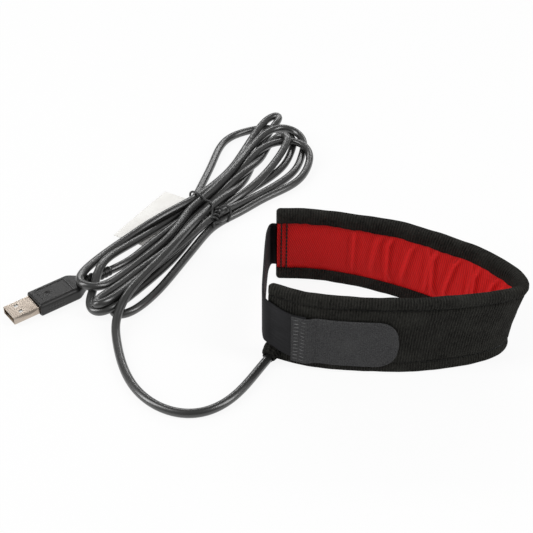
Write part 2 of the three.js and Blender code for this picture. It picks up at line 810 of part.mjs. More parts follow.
const plug = plugFrame();
plug.add(
  piece('plug_body', makePlugBody(), plugBlack),
  piece('plug_shell', makeShell(), bareSteel),
  piece('plug_insulator', makeInsulator(), whitePlastic),
  piece('plug_strain_relief', makeRelief(), plugBlack),
);
for (let contact = 0; contact < 4; contact += 1) {
  plug.add(piece(`plug_contact_${contact + 1}`, makeContact(contact), gold));
}

const model = new THREE.Group();
model.add(
  strip,
  piece('cable_run', makeCable(), blackJacket),
  piece('cable_hank', makeHank(), blackJacket),
  piece('twist_tie', makeTie(), blackThread),
  piece('flag_tag', makeTag(), paper),
  plug,
);

export default model;
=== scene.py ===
import math
import bpy
import numpy as np
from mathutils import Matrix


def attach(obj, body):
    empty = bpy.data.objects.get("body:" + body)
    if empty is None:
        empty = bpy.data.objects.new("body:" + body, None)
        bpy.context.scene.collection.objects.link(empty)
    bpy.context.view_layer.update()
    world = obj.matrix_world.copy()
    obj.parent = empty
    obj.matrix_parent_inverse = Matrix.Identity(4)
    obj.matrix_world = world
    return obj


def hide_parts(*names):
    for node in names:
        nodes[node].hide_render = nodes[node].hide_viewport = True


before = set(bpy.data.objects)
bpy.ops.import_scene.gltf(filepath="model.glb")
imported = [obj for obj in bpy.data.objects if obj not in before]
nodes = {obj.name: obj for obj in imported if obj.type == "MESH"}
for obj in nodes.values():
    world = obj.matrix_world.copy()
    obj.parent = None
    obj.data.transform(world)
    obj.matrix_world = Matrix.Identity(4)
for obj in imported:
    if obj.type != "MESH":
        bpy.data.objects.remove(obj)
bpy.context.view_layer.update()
print("frame loaded:", len(nodes), "nodes")

mm = 0.001
tau = 2 * math.pi


# camera

camera = {"place": (-0.0645, -0.5107, 0.4512), "tiltDown": 39.0, "lens": 84.43}


def makeCamera():
    data = bpy.data.cameras.new("photoCamera")
    data.lens = camera["lens"]
    data.sensor_width = 36
    data.clip_start = 0.01
    eye = bpy.data.objects.new("photoCamera", data)
    eye.location = camera["place"]
    eye.rotation_euler = (math.radians(90 - camera["tiltDown"]), 0, 0)
    bpy.context.scene.collection.objects.link(eye)
    bpy.context.scene.camera = eye


makeCamera()


# curves and grids

def evenSteps(line, step):
    # the same line with its points a fixed distance apart
    gaps = np.linalg.norm(np.diff(line, axis=0), axis=1)
    run = np.concatenate([[0], np.cumsum(gaps)])
    at = np.linspace(0, run[-1], max(3, int(round(run[-1] / step)) + 1))
    return np.stack([np.interp(at, run, line[:, axis]) for axis in range(line.shape[1])], axis=1)


def smoothCurve(points, step):
    # a spline through the points whose knots are the square roots of their gaps, so it never loops
    points = np.asarray(points, float)
    ends = np.vstack([2 * points[0] - points[1], points, 2 * points[-1] - points[-2]])
    knot = np.concatenate([[0], np.cumsum(np.linalg.norm(np.diff(ends, axis=0), axis=1) ** 0.5)])
    t = np.interp(np.arange(40 * (len(points) - 1) + 1) / 40, np.arange(len(points)), knot[1:-1])
    i = np.clip(np.searchsorted(knot, t, side="right") - 1, 1, len(ends) - 3)
    k = [knot[i + offset][:, None] for offset in (-1, 0, 1, 2)]
    p = [ends[i + offset] for offset in (-1, 0, 1, 2)]
    t = t[:, None]
    a = [(p[n] * (k[n + 1] - t) + p[n + 1] * (t - k[n])) / (k[n + 1] - k[n]) for n in range(3)]
    b = [(a[n] * (k[n + 2] - t) + a[n + 1] * (t - k[n])) / (k[n + 2] - k[n]) for n in range(2)]
    return evenSteps((b[0] * (k[2] - t) + b[1] * (t - k[1])) / (k[2] - k[1]), step)


def ripple(u, v, size, seed, waves=9):
    # soft unevenness between -1 and 1: a sum of sine waves of one size in many directions
    dice = np.random.RandomState(seed)
    total = np.zeros(np.broadcast(u, v).shape)
    for _ in range(waves):
        turn, length, phase = dice.rand(3) * (tau, 0.9, tau) + (0, 0.6, 0)
        total += np.sin((u * math.cos(turn) + v * math.sin(turn)) * tau / (size * length) + phase)
    return total / waves ** 0.5 * 0.7


def gridFaces(rows, columns, closeRows=False, closeColumns=False):
    # every four neighbouring grid points make a face; a closed side joins its last points to its first
    r = np.arange(rows if closeRows else rows - 1)[:, None]
    c = np.arange(columns if closeColumns else columns - 1)[None, :]
    nextRow, nextColumn = (r + 1) % rows, (c + 1) % columns
    rowStart, nextStart = r * columns, nextRow * columns
    faces = [rowStart + c, nextStart + c, nextStart + nextColumn, rowStart + nextColumn]
    return np.stack([np.broadcast_to(f, (r.size, c.size)) for f in faces], axis=-1).reshape(-1, 4)


def makePiece(name, points, faces, material, uv=None):
    # numpy arrays put straight into a mesh, its faces turned outward; uv holds a place for each point
    points = np.asarray(points, float).reshape(-1, 3)
    mesh = bpy.data.meshes.new(name)
    mesh.from_pydata(points.tolist(), [], faces)
    mesh.calc_loop_triangles()
    corner = np.zeros(len(mesh.loop_triangles) * 3, np.int32)
    mesh.loop_triangles.foreach_get("vertices", corner)
    a, b, c = np.moveaxis(points[corner].reshape(-1, 3, 3), 1, 0)
    if np.einsum("ij,ij->", a, np.cross(b, c)) < 0:
        mesh.flip_normals()
    if uv is not None:
        layer = mesh.uv_layers.new(name="cloth")
        corner = np.zeros(len(mesh.loops), np.int32)
        mesh.loops.foreach_get("vertex_index", corner)
        layer.data.foreach_set("uv", np.asarray(uv, float).reshape(-1, 2)[corner].ravel())
    mesh.polygons.foreach_set("use_smooth", np.ones(len(mesh.polygons), bool))
    mesh.materials.append(material)
    piece = bpy.data.objects.new(name, mesh)
    bpy.context.scene.collection.objects.link(piece)
    return piece


def skin(name, grid, material, uv=None, closed=False):
    # a grid of rings, closed round each ring; its ends are capped, or joined where the rings close
    rings, sides = grid.shape[:2]
    faces = gridFaces(rings, sides, closed, True).tolist()
    if not closed:
        faces += [list(range(sides))[::-1], list(range((rings - 1) * sides, rings * sides))]
    return makePiece(name, grid, faces, material, uv)


def joined(*parts):
    # coordinates of any matching shapes, put together as points
    return np.stack(np.broadcast_arrays(*parts), axis=-1)


def tubeGrid(line, radius, sides, upright=(0, 0, 1)):
    # rings round a line, each square to it and turned from one upright direction
    tangent = np.gradient(line, axis=0)
    tangent /= np.linalg.norm(tangent, axis=1)[:, None]
    side = np.cross(tangent, np.asarray(upright, float))
    side /= np.linalg.norm(side, axis=1)[:, None]
    top = np.cross(side, tangent)
    angle = np.arange(sides) / sides * tau
    ring = side[:, None] * np.cos(angle)[None, :, None] + top[:, None] * np.sin(angle)[None, :, None]
    return line[:, None] + ring * np.broadcast_to(radius, (len(line),))[:, None, None]


def runAlong(line):
    return np.concatenate([[0], np.cumsum(np.linalg.norm(np.diff(line, axis=0), axis=1))])


def tube(name, line, radius, sides, material, upright=(0, 0, 1)):
    # a tube along a line, with uv in metres along it and round it
    grid = tubeGrid(line, radius, sides, upright)
    around = np.arange(sides) / sides * tau * np.mean(radius)
    uv = joined(runAlong(line)[:, None], around[None, :])
    return skin(name, grid, material, uv)


def stitches(name, starts, ends, outward, thickness, lift, material):
    # short bowed threads, all at once: each comes up at its start and goes in again at its end
    steps, sides = 7, 6
    share = np.linspace(0, 1, steps)
    starts, ends, outward = (np.asarray(a, float)[:, None, :] for a in (starts, ends, outward))
    bow = np.sin(share * math.pi) ** 0.5 * lift - 0.4 * thickness
    line = starts + (ends - starts) * share[None, :, None] + outward * bow[None, :, None]
    direction = (ends - starts) / np.linalg.norm(ends - starts, axis=2, keepdims=True)
    side = np.cross(direction, outward)
    angle = np.arange(sides) / sides * tau
    ring = side[:, :, None] * np.cos(angle)[:, None] + outward[:, :, None] * np.sin(angle)[:, None]
    size = thickness / 2 * np.sin(math.pi * (0.15 + 0.7 * share)) ** 0.5
    grid = line[:, :, None] + ring * size[None, :, None, None]
    end = (steps - 1) * sides
    startCap = [[5, 4, 3, 2], [2, 1, 0, 5]]
    endCap = [[end, end + 1, end + 2, end + 3], [end + 3, end + 4, end + 5, end]]
    caps = np.array(startCap + endCap)
    one = np.vstack([gridFaces(steps, sides, closeColumns=True), caps])
    faces = (one[None] + (np.arange(len(grid)) * steps * sides)[:, None, None]).reshape(-1, 4)
    return makePiece(name, grid, faces.tolist(), material)


# materials

def newMaterial(name):
    material = bpy.data.materials.new(name)
    material.use_nodes = True
    tree = material.node_tree
    return material, tree, tree.nodes["Principled BSDF"]


def link(tree, output, target):
    tree.links.new(output, target)


def mathNode(tree, operation, a, b=None):
    # one step of arithmetic on sockets or plain numbers
    node = tree.nodes.new("ShaderNodeMath")
    node.operation = operation
    for index, value in enumerate((a, b)):
        if value is None:
            continue
        if isinstance(value, (int, float)):
            node.inputs[index].default_value = value
        else:
            link(tree, value, node.inputs[index])
    return node.outputs[0]


def newGroup(name, inputs, outputs):
    # a shader node group with number inputs, each with its first value, and number outputs
    group = bpy.data.node_groups.new(name, "ShaderNodeTree")
    for label, value in inputs.items():
        socket = group.interface.new_socket(label, in_out="INPUT", socket_type="NodeSocketFloat")
        socket.default_value = value
    for label in outputs:
        group.interface.new_socket(label, in_out="OUTPUT", socket_type="NodeSocketFloat")
    return group, group.nodes.new("NodeGroupInput"), group.nodes.new("NodeGroupOutput")


def useGroup(tree, group, **values):
    node = tree.nodes.new("ShaderNodeGroup")
    node.node_tree = group
    for key, value in values.items():
        node.inputs[key].default_value = value
    return node


def makeGrainGroup():
    # fine speckle and slow blotches from Object coordinates: both between 0 and 1
    group, given, result = newGroup("surfaceGrain", {"Grain": 2500.0, "Blotch": 60.0}, ("Fine", "Slow"))
    place = group.nodes.new("ShaderNodeTexCoord").outputs["Object"]
    for label, scale, detail in (("Fine", "Grain", 3.0), ("Slow", "Blotch", 4.0)):
        noise = group.nodes.new("ShaderNodeTexNoise")
        noise.inputs["Detail"].default_value = detail
        link(group, place, noise.inputs["Vector"])
        link(group, given.outputs[scale], noise.inputs["Scale"])
        link(group, noise.outputs["Fac"], result.inputs[label])
    return group


def makeWeaveGroup():
    # threads that pass over and under each other, from the cloth's own uv in metres:
    # the height is a checker of two rounded ridges, and Slant pushes each row sideways
    sizes = {"Along": 0.001, "Across": 0.001, "Slant": 0.0, "Loose": 0.3}
    group, given, result = newGroup("threadWeave", sizes, ("Height",))
    uv = group.nodes.new("ShaderNodeUVMap")
    uv.uv_map = "cloth"
    split = group.nodes.new("ShaderNodeSeparateXYZ")
    link(group, uv.outputs[0], split.inputs[0])
    wander = group.nodes.new("ShaderNodeTexNoise")
    wander.inputs["Scale"].default_value = 260.0
    wander.inputs["Detail"].default_value = 2.0
    link(group, uv.outputs[0], wander.inputs["Vector"])
    drift = mathNode(group, "SUBTRACT", wander.outputs["Fac"], 0.5)
    shift = mathNode(group, "MULTIPLY", drift, given.outputs["Loose"])
    v = mathNode(group, "ADD", mathNode(group, "DIVIDE", split.outputs[1], given.outputs["Across"]), shift)
    slide = mathNode(group, "MULTIPLY", v, given.outputs["Slant"])
    u = mathNode(group, "ADD", mathNode(group, "DIVIDE", split.outputs[0], given.outputs["Along"]), slide)
    u = mathNode(group, "ADD", u, shift)
    waveU = mathNode(group, "SINE", mathNode(group, "MULTIPLY", u, tau))
    waveV = mathNode(group, "SINE", mathNode(group, "MULTIPLY", v, tau))
    both = mathNode(group, "MULTIPLY", waveU, waveV)
    height = mathNode(group, "ADD", mathNode(group, "MULTIPLY", both, 0.5), 0.5)
    link(group, height, result.inputs["Height"])
    return group


def makeKnitGroup():
    # upright ribs broken into short strokes: a noise drawn out along the cloth's height, times a wave
    group, given, result = newGroup("knitRibs", {"Pitch": 0.0015, "Stroke": 0.005, "Ribs": 0.5}, ("Height",))
    uv = group.nodes.new("ShaderNodeUVMap")
    uv.uv_map = "cloth"
    split = group.nodes.new("ShaderNodeSeparateXYZ")
    link(group, uv.outputs[0], split.inputs[0])
    u = mathNode(group, "DIVIDE", split.outputs[0], given.outputs["Pitch"])
    v = mathNode(group, "DIVIDE", split.outputs[1], given.outputs["Stroke"])
    join = group.nodes.new("ShaderNodeCombineXYZ")
    link(group, u, join.inputs[0])
    link(group, v, join.inputs[1])
    noise = group.nodes.new("ShaderNodeTexNoise")
    noise.inputs["Scale"].default_value = 1.6
    noise.inputs["Detail"].default_value = 2.5
    link(group, join.outputs[0], noise.inputs["Vector"])
    wave = mathNode(group, "MULTIPLY", mathNode(group, "SINE", mathNode(group, "MULTIPLY", u, tau)), 0.5)
    ribs = mathNode(group, "MULTIPLY", mathNode(group, "ADD", wave, 0.5), given.outputs["Ribs"])
    plain = mathNode(group, "SUBTRACT", 1.0, given.outputs["Ribs"])
    height = mathNode(group, "MULTIPLY", noise.outputs["Fac"], mathNode(group, "ADD", ribs, plain))
    link(group, height, result.inputs["Height"])
    return group


grainGroup = makeGrainGroup()
weaveGroup = makeWeaveGroup()
knitGroup = makeKnitGroup()


def mixColour(tree, mask, low, high):
    # a colour between two, set by a mask socket
    node = tree.nodes.new("ShaderNodeMix")
    node.data_type = "RGBA"
    for index, value in ((6, low), (7, high)):
        if isinstance(value, tuple):
            node.inputs[index].default_value = (*value, 1)
        else:
            link(tree, value, node.inputs[index])
    link(tree, mask, node.inputs[0])
    return node.outputs[2]


def rangeOf(tree, value, low, high, start=0.0, stop=1.0):
    # a value between start and stop spread from low to high
    node = tree.nodes.new("ShaderNodeMapRange")
    for key, number in (("From Min", start), ("From Max", stop), ("To Min", low), ("To Max", high)):
        node.inputs[key].default_value = number
    link(tree, value, node.inputs["Value"])
    return node.outputs["Result"]


def bumpOf(tree, height, distance, strength=1.0, under=None):
    node = tree.nodes.new("ShaderNodeBump")
    node.inputs["Distance"].default_value = distance
    node.inputs["Strength"].default_value = strength
    link(tree, height, node.inputs["Height"])
    if under is not None:
        link(tree, under, node.inputs["Normal"])
    return node.outputs["Normal"]


def clothMaterial(name, values):
    # woven or knitted cloth: thread relief, fuzz between threads, and slow random changes of tone; the colour
    # also follows the thread relief, with a painted highlight on the crests and painted shade in the hollows
    material, tree, shader = newMaterial(name)
    knitted = "stroke" in values
    keys = ("Pitch", "Stroke", "Ribs") if knitted else ("Along", "Across", "Slant", "Loose")
    pattern = knitGroup if knitted else weaveGroup
    weave = useGroup(tree, pattern, **{key: values[key.lower()] for key in keys})
    grain = useGroup(tree, grainGroup, Grain=values["grain"], Blotch=values["blotch"])
    fine, slow = grain.outputs["Fine"], grain.outputs["Slow"]
    # painted light: the thread height darkens the hollows as painted shade and lightens the crests as a painted
    # highlight, mixed with real fibre speckle
    threads = mathNode(tree, "MULTIPLY", weave.outputs["Height"], values["paintedWeaveShade"])
    paintedShadeAndSpeckle = mathNode(tree, "ADD", threads, mathNode(tree, "MULTIPLY", fine, 1 - values["paintedWeaveShade"]))
    colour = mixColour(tree, rangeOf(tree, paintedShadeAndSpeckle, 0, 1, *values["span"]), values["dark"], values["light"])
    worn = rangeOf(tree, slow, 0, values["blotchShade"], 0.45, 0.7)
    link(tree, mixColour(tree, worn, colour, values["faded"]), shader.inputs["Base Color"])
    link(tree, rangeOf(tree, fine, *values["rough"], 0.3, 0.7), shader.inputs["Roughness"])
    normal = bumpOf(tree, weave.outputs["Height"], values["relief"])
    link(tree, bumpOf(tree, fine, values["fuzz"], 1.0, normal), shader.inputs["Normal"])
    shader.inputs["Sheen Weight"].default_value = values["sheen"]
    shader.inputs["Sheen Roughness"].default_value = 0.45
    shader.inputs["Sheen Tint"].default_value = (*values["light"], 1)
    shader.inputs["Specular IOR Level"].default_value = values["gloss"]
    return material


def plasticMaterial(name, grainScale, blotchScale, dark, light, rough, relief, gloss, metal=False, coat=0.0):
    # moulded rubber, plastic or plated metal: a faint relief and small changes of colour and gloss
    material, tree, shader = newMaterial(name)
    grain = useGroup(tree, grainGroup, Grain=grainScale, Blotch=blotchScale)
    fine, slow = grain.outputs["Fine"], grain.outputs["Slow"]
    baseColour = mixColour(tree, rangeOf(tree, slow, 0, 1, 0.35, 0.7), dark, light)
    link(tree, baseColour, shader.inputs["Base Color"])
    link(tree, rangeOf(tree, slow, *rough, 0.3, 0.7), shader.inputs["Roughness"])
    link(tree, bumpOf(tree, fine, relief), shader.inputs["Normal"])
    shader.inputs["Specular IOR Level"].default_value = gloss
    shader.inputs["Metallic"].default_value = float(metal)
    shader.inputs["Coat Weight"].default_value = coat
    shader.inputs["Coat Roughness"].default_value = 0.25
    return material


def grey(level):
    return (level, level, level)


# dark and light: the cloth's colour, with painted shade in the thread hollows and a painted highlight on the
# thread crests
pileCloth = clothMaterial("pileCloth", {
    "pitch": 0.00145, "stroke": 0.0042, "ribs": 0.55, "grain": 1700, "blotch": 90.0, "span": (0.22, 0.62),
    "paintedWeaveShade": 0.6, "blotchShade": 0.3, "dark": (0.002, 0.002, 0.0018), "light": (0.036, 0.035, 0.031),
    "faded": (0.05, 0.05, 0.044), "rough": (0.85, 1.0), "relief": 0.0008, "fuzz": 0.0005, "sheen": 0.12,
    "gloss": 0.08,
})
redNylon = clothMaterial("redNylon", {
    "along": 0.00125, "across": 0.00125, "slant": 0.5, "loose": 0.12, "grain": 2400, "blotch": 40.0,
    "span": (0.1, 0.8), "paintedWeaveShade": 0.85, "blotchShade": 0.4, "dark": (0.4, 0.006, 0.006),
    "light": (0.88, 0.018, 0.018), "faded": (0.62, 0.012, 0.012), "rough": (0.5, 0.7), "relief": 0.00014,
    "fuzz": 5e-05, "sheen": 0.0, "gloss": 0.18,
})
elasticWebbing = clothMaterial("elasticWebbing", {
    "pitch": 0.02, "stroke": 0.0011, "ribs": 0.0, "grain": 2600, "blotch": 70.0, "span": (0.3, 0.7),
    "paintedWeaveShade": 0.45, "blotchShade": 0.3, "dark": (0.012, 0.012, 0.013), "light": (0.03, 0.03, 0.032),
    "faded": (0.036, 0.036, 0.038), "rough": (0.75, 0.9), "relief": 0.00012, "fuzz": 8e-05, "sheen": 0.05,
    "gloss": 0.15,
})
hookCloth = clothMaterial("hookCloth", {
    "pitch": 0.0011, "stroke": 0.0011, "ribs": 0.15, "grain": 1500, "blotch": 130, "span": (0.3, 0.68),
    "paintedWeaveShade": 0.5, "blotchShade": 0.3, "dark": (0.012, 0.012, 0.013), "light": (0.085, 0.085, 0.087),
    "faded": (0.075, 0.075, 0.075), "rough": (0.6, 0.85), "relief": 0.0004, "fuzz": 0.0004, "sheen": 0.08,
    "gloss": 0.2,
})

# each row: grain and blotch scales, dark and light colour, roughness from and to, relief in metres and
# gloss, and where it differs whether it is metal and how strong its clear coat is
plasticRows = {
    "blackThread": (3500, 400, grey(0.004), grey(0.015), (0.55, 0.8), 0.0001, 0.3),
    "greyThread": (3500, 400, grey(0.08), grey(0.2), (0.5, 0.75), 0.0001, 0.35),
    "cableJacket": (1800, 45.0, (0.014, 0.014, 0.0132), (0.024, 0.024, 0.023),
        (0.28, 0.34), 4e-07, 0.9, False, 0.35),
    "plugRubber": (2600, 60.0, (0.008, 0.0078, 0.0076), (0.015, 0.0145, 0.014),
        (0.33, 0.42), 1.5e-05, 0.45),
    "plugSteel": (1500, 90.0, (0.44, 0.37, 0.31), (0.56, 0.49, 0.42), (0.26, 0.34), 6e-07, 0.5, True),
    "goldPlate": (1500, 200, (0.7, 0.48, 0.17), (0.85, 0.62, 0.28), (0.2, 0.35), 1e-05, 0.5, True),
    "whitePlastic": (2000, 200, (0.7, 0.7, 0.68), (0.8, 0.8, 0.78), (0.4, 0.55), 2e-05, 0.45),
    "tiePlastic": (2200, 250, grey(0.012), grey(0.035), (0.3, 0.5), 3e-05, 0.5),
    "tagPaper": (1600, 120, (0.88, 0.865, 0.83), (0.94, 0.93, 0.9), (0.6, 0.8), 3e-05, 0.3),
    "greyFoam": (900, 120, (0.07, 0.075, 0.08), (0.16, 0.165, 0.17), (0.9, 1.0), 0.0004, 0.1),
    "amberFilm": (900, 90.0, (0.35, 0.14, 0.02), (0.55, 0.25, 0.05), (0.2, 0.35), 3e-05, 0.5),
    "foilTrack": (1200, 120, (0.5, 0.52, 0.55), (0.68, 0.7, 0.72), (0.3, 0.45), 4e-05, 0.5, True),
    "copperPad": (1200, 300, (0.55, 0.27, 0.14), (0.75, 0.4, 0.24), (0.25, 0.45), 3e-05, 0.5, True),
    "redInsulation": (2000, 200, (0.3, 0.01, 0.01), (0.42, 0.02, 0.02), (0.35, 0.5), 2e-05, 0.5),
    "blackInsulation": (2000, 200, grey(0.008), grey(0.02), (0.35, 0.5), 2e-05, 0.5),
}
plastics = {name: plasticMaterial(name, *row) for name, row in plasticRows.items()}
print("materials made")


# cable, from the band to the plug

cable = {"diameter": 4.8 * mm, "ringStep": 1.2 * mm, "sides": 24, "restStep": 2.0 * mm}
settling = {
    "turns": 400, "near": 1.6, "apart": 3.2, "contact": 1.01, "push": (0.55, 0.55, 1.5),
    "sink": 0.05 * mm, "sinkUntil": 0.8, "hold": 0.998, "stiffness": 3,
}
cableExit = (-0.06296, -0.0317)
# the free run in millimetres from the exit, and its height
cableRun = [
    (-4.0, -6.6, 2.4), (-7.6, -13.2, 2.4), (-13.4, -23.3, 2.4), (-20.0, -32.0, 2.4), (-27.6, -38.4, 2.4),
    (-36.2, -41.8, 2.4), (-45.2, -41.4, 2.4), (-54.0, -37.9, 2.4), (-62.3, -31.5, 2.4),
    (-69.5, -22.5, 2.4), (-75.1, -11.1, 2.4), (-79.4, 1.8, 2.6), (-82.5, 14.7, 3.4), (-84.6, 25.8, 6.0),
]
plugPlace = (-0.19166, 0.0085)
plugHeading = math.radians(37.4)
plugAxisHeight = 4.0 * mm

# The hank, in millimetres from its tie: along it and across it, and in layers of cable above the
# floor. Each bend has its slot in the tie, its reach, three distances across on the way out at the
# shares of its reach, its tip, three on the way back, and the layers of both ways and the tip.
hank = {
    "tie": (-101.0, 89.8), "heading": math.radians(48), "slotPitch": 4.9, "slotMiddle": 4.4, "lowest": 2.9,
    "shares": (0.35, 0.7, 0.9), "besideTip": (0.965, 0.76),
}
hankStart = [
    (-94.5, -25.5, 1.6), (-86, -21.5, 2.0), (-73, -18.5, 2.1), (-55, -16, 2.0), (-35, -12, 1.8),
    (-15, -5.5, 1.4),
]
hankBends = [
    ((-1, 1), 113, (8, 26.5, 34), 39, (41.5, 35, 20), (0.8, 1.5, 2.2)),
    ((2, 1), -99, (16, 13, 8), 0, (-10, -8, -4), (1.3, 1.9, 1.5)),
    ((1, 1), 104, (13, 26, 29.5), 18, (3.5, -8, -8.5), (1.8, 1.2, 0.5)),
    ((-2, 1), -106.5, (-11.5, -18.5, -23.5), -19, (-15, -12.5, -7.5), (1.5, 1.3, 1.5)),
    ((0, 1), 103, (0, 1.5, 12), 25.5, (43, 50, 32), (0.3, 0.0, 0.0)),
    ((2, 0), -105.5, (13.5, 9, -5.5), -16, (-22.5, -19, -12), (0.3, 0.0, 0.6)),
    ((-1, 0), 93.5, (-4, 2.5, 9), 17.5, (24, 17, 8), (1.5, 1.7, 0.8)),
    ((0, 0), -99, (-3, -12, -17), -24, (-30, -28, -17), (0.0, 0.0, 0.0)),
    ((-2, 0), 95, (-9.5, -16, -8.5), 8, (19, 18, 11), (1.0, 1.3, 1.2)),
]
hankEnd = ((1, 0), [(-22, 6.5, 0.15), (-42, 4.5, 0.3)])


def hankPlace(lengthways, across, layer):
    # a point of the hank in metres, from its distances in millimetres
    c, s = math.cos(hank["heading"]), math.sin(hank["heading"])
    x = hank["tie"][0] + lengthways * c - across * s
    y = hank["tie"][1] + lengthways * s + across * c
    return (x * mm, y * mm, hank["lowest"] * mm + layer * cable["diameter"])


def slotPlace(slot, side):
    return hankPlace(2.0 * side, hank["slotMiddle"] + slot[0] * hank["slotPitch"], slot[1])


def plugPoint(x, y, z):
    # from the plug's own frame, whose tip points to -X, to the strip's frame
    c, s = math.cos(plugHeading), math.sin(plugHeading)
    return joined(plugPlace[0] + x * c - y * s, plugPlace[1] + x * s + y * c, plugAxisHeight + z)


def smoothed(line, turns):
    # each point moves towards the middle of its neighbours, with both ends kept
    line = line.copy()
    for _ in range(turns):
        line[2:-2] = (line[:-4] + 4 * line[1:-3] + 6 * line[2:-2] + 4 * line[3:-1] + line[4:]) / 16
    return line


def cableRoute():
    # listed points along the floor, then every bend of the hank in turn, then the plug
    points = [(*cableExit, cable["diameter"] / 2)]
    points += [(cableExit[0] + x * mm, cableExit[1] + y * mm, z * mm) for x, y, z in cableRun]
    points += [hankPlace(*place) for place in hankStart]
    shares, (nearTip, ellipse) = hank["shares"], hank["besideTip"]
    slots = [bend[0] for bend in hankBends[1:]] + [hankEnd[0]]
    for (slot, reach, out, tip, back, (goes, over, comes)), nextSlot in zip(hankBends, slots):
        side = math.copysign(1, reach)
        points.append(slotPlace(slot, side))
        points += [hankPlace(reach * share, across, goes) for share, across in zip(shares, out)]
        # a point on each side of the tip rounds the bend like an ellipse
        before, after = (hankPlace(nearTip * reach, tip + ellipse * (beside - tip), (layer + over) / 2)
                         for beside, layer in ((out[-1], goes), (back[0], comes)))
        points += [before, hankPlace(reach, tip, over), after]
        points += [hankPlace(reach * share, across, comes) for share, across in zip(shares[::-1], back)]
        points.append(slotPlace(nextSlot, side))
    points += [hankPlace(*place) for place in hankEnd[1]]
    points += [plugPoint(x * mm, 0.0, 0.0) for x in (60.0, 48.0)]
    return smoothed(smoothCurve(points, cable["restStep"]), 8)


def plugTop(x, y):
    # how high the plug's rear stands under a place: rounded at its sides, nothing beyond it
    dx, dy = x - plugPlace[0], y - plugPlace[1]
    c, s = math.cos(plugHeading), math.sin(plugHeading)
    at, off = dx * c + dy * s, np.abs(dy * c - dx * s)
    widthAt, widths = np.array([(0, 8.1), (25, 8.1), (30, 5.2), (33, 4.5), (33.3, 3.4), (48.3, 2.9)]).T * mm
    topAt, tops = np.array([(-1, 0), (0, 8), (25, 8), (30, 7.4), (33, 7.4), (48.3, 7), (49.5, 0)]).T * mm
    width, top = np.interp(at, widthAt, widths), np.interp(at, topAt, tops)
    inside = np.clip((width + 3.6 * mm - off) / (3.4 * mm), 0, 1)
    return top * np.sqrt(1 - (1 - inside) ** 2)


def settle(line):
    # Turns that lie in each other are pushed a diameter apart, mostly upwards, while their weight
    # draws them down. A cable is stiff, so a push is shared with its neighbours along the line.
    start = line.copy()
    diameter = cable["diameter"]
    free = np.ones((len(line), 1))
    free[:3], free[-6:] = 0, 0
    index = np.arange(len(line))
    apart = int(round(settling["apart"] * diameter / cable["restStep"]))
    for turn in range(settling["turns"]):
        if turn % 8 == 0:
            flat = line[:, :2]
            near = np.linalg.norm(flat[:, None] - flat[None], axis=2) < settling["near"] * diameter
            first, second = np.nonzero(near & (index[None, :] - index[:, None] > apart))
        gap = line[second] - line[first]
        reach = np.maximum(np.linalg.norm(gap, axis=1), 1e-9)
        push = gap / reach[:, None] * (np.maximum(0, settling["contact"] * diameter - reach) / 4)[:, None]
        push *= settling["push"]
        move = np.zeros_like(line)
        np.add.at(move, first, -push)
        np.add.at(move, second, push)
        move[:, 2] -= settling["sink"] if turn < settling["sinkUntil"] * settling["turns"] else 0
        shift = line + move * free - start
        for _ in range(settling["stiffness"]):
            shift[1:-1] += (0.25 * (shift[:-2] + shift[2:]) - 0.5 * shift[1:-1]) * free[1:-1]
        shift[:, :2] *= settling["hold"]
        line = start + shift
        height = np.maximum(smoothed(line[:, 2], 1), diameter / 2 + plugTop(line[:, 0], line[:, 1]))
        line[:, 2] = np.where(free[:, 0] > 0, height, line[:, 2])
    return line


def makeCable():
    line = smoothed(settle(cableRoute()), 4)
    fine = smoothCurve(line[::2] if len(line) % 2 else np.vstack([line[::2], line[-1:]]), cable["ringStep"])
    piece = tube("cable", fine, cable["diameter"] / 2, cable["sides"], plastics["cableJacket"])
    length = float(np.linalg.norm(np.diff(fine, axis=0), axis=1).sum())
    print("cable laid:", round(length, 3), "m")
    return piece, fine, length


cablePiece, cableLine, cableLength = makeCable()


# band

band = {
    "height": 46.5 * mm, "loop": (0.136, 0.085), "flare": 1.5, "stations": 480,
    "edgeRound": 2.2 * mm, "hemWave": 0.5 * mm, "pucker": 0.28 * mm, "stitchPitch": 2.9 * mm,
}
floorShares = [
    (-0.474, -0.329), (-0.327, -0.427), (-0.121, -0.473), (0.118, -0.472), (0.331, -0.402), (0.43, -0.324),
    (0.462, -0.247), (0.449, -0.177), (0.342, 0.006), (0.165, 0.206), (-0.085, 0.389), (-0.287, 0.469),
    (-0.434, 0.479),
]
topShares = [
    (-0.474, -0.329), (-0.327, -0.427), (-0.121, -0.473), (0.118, -0.474), (0.338, -0.428), (0.434, -0.389),
    (0.487, -0.350), (0.504, -0.280), (0.486, -0.165), (0.366, 0.046), (0.27, 0.155), (0.068, 0.324),
    (-0.122, 0.414), (-0.287, 0.469), (-0.434, 0.479),
]


def faceLine(shares):
    points = np.array(shares) * band["loop"]
    return smoothCurve(np.column_stack([points, np.zeros(len(points))]), 0.4 * mm)


floorLine, topLine = faceLine(floorShares), faceLine(topShares)
bandLength = (runAlong(floorLine)[-1] + runAlong(topLine)[-1]) / 2


def along(line, share):
    # the place and the inward direction at shares of a line
    at = share * (len(line) - 1)
    index = np.arange(len(line))
    tangent = np.gradient(line, axis=0)
    place = np.stack([np.interp(at, index, line[:, axis]) for axis in range(2)], axis=-1)
    heading = np.stack([np.interp(at, index, tangent[:, axis]) for axis in range(2)], axis=-1)
    heading /= np.linalg.norm(heading, axis=-1, keepdims=True)
    return place, np.stack([-heading[..., 1], heading[..., 0]], axis=-1)


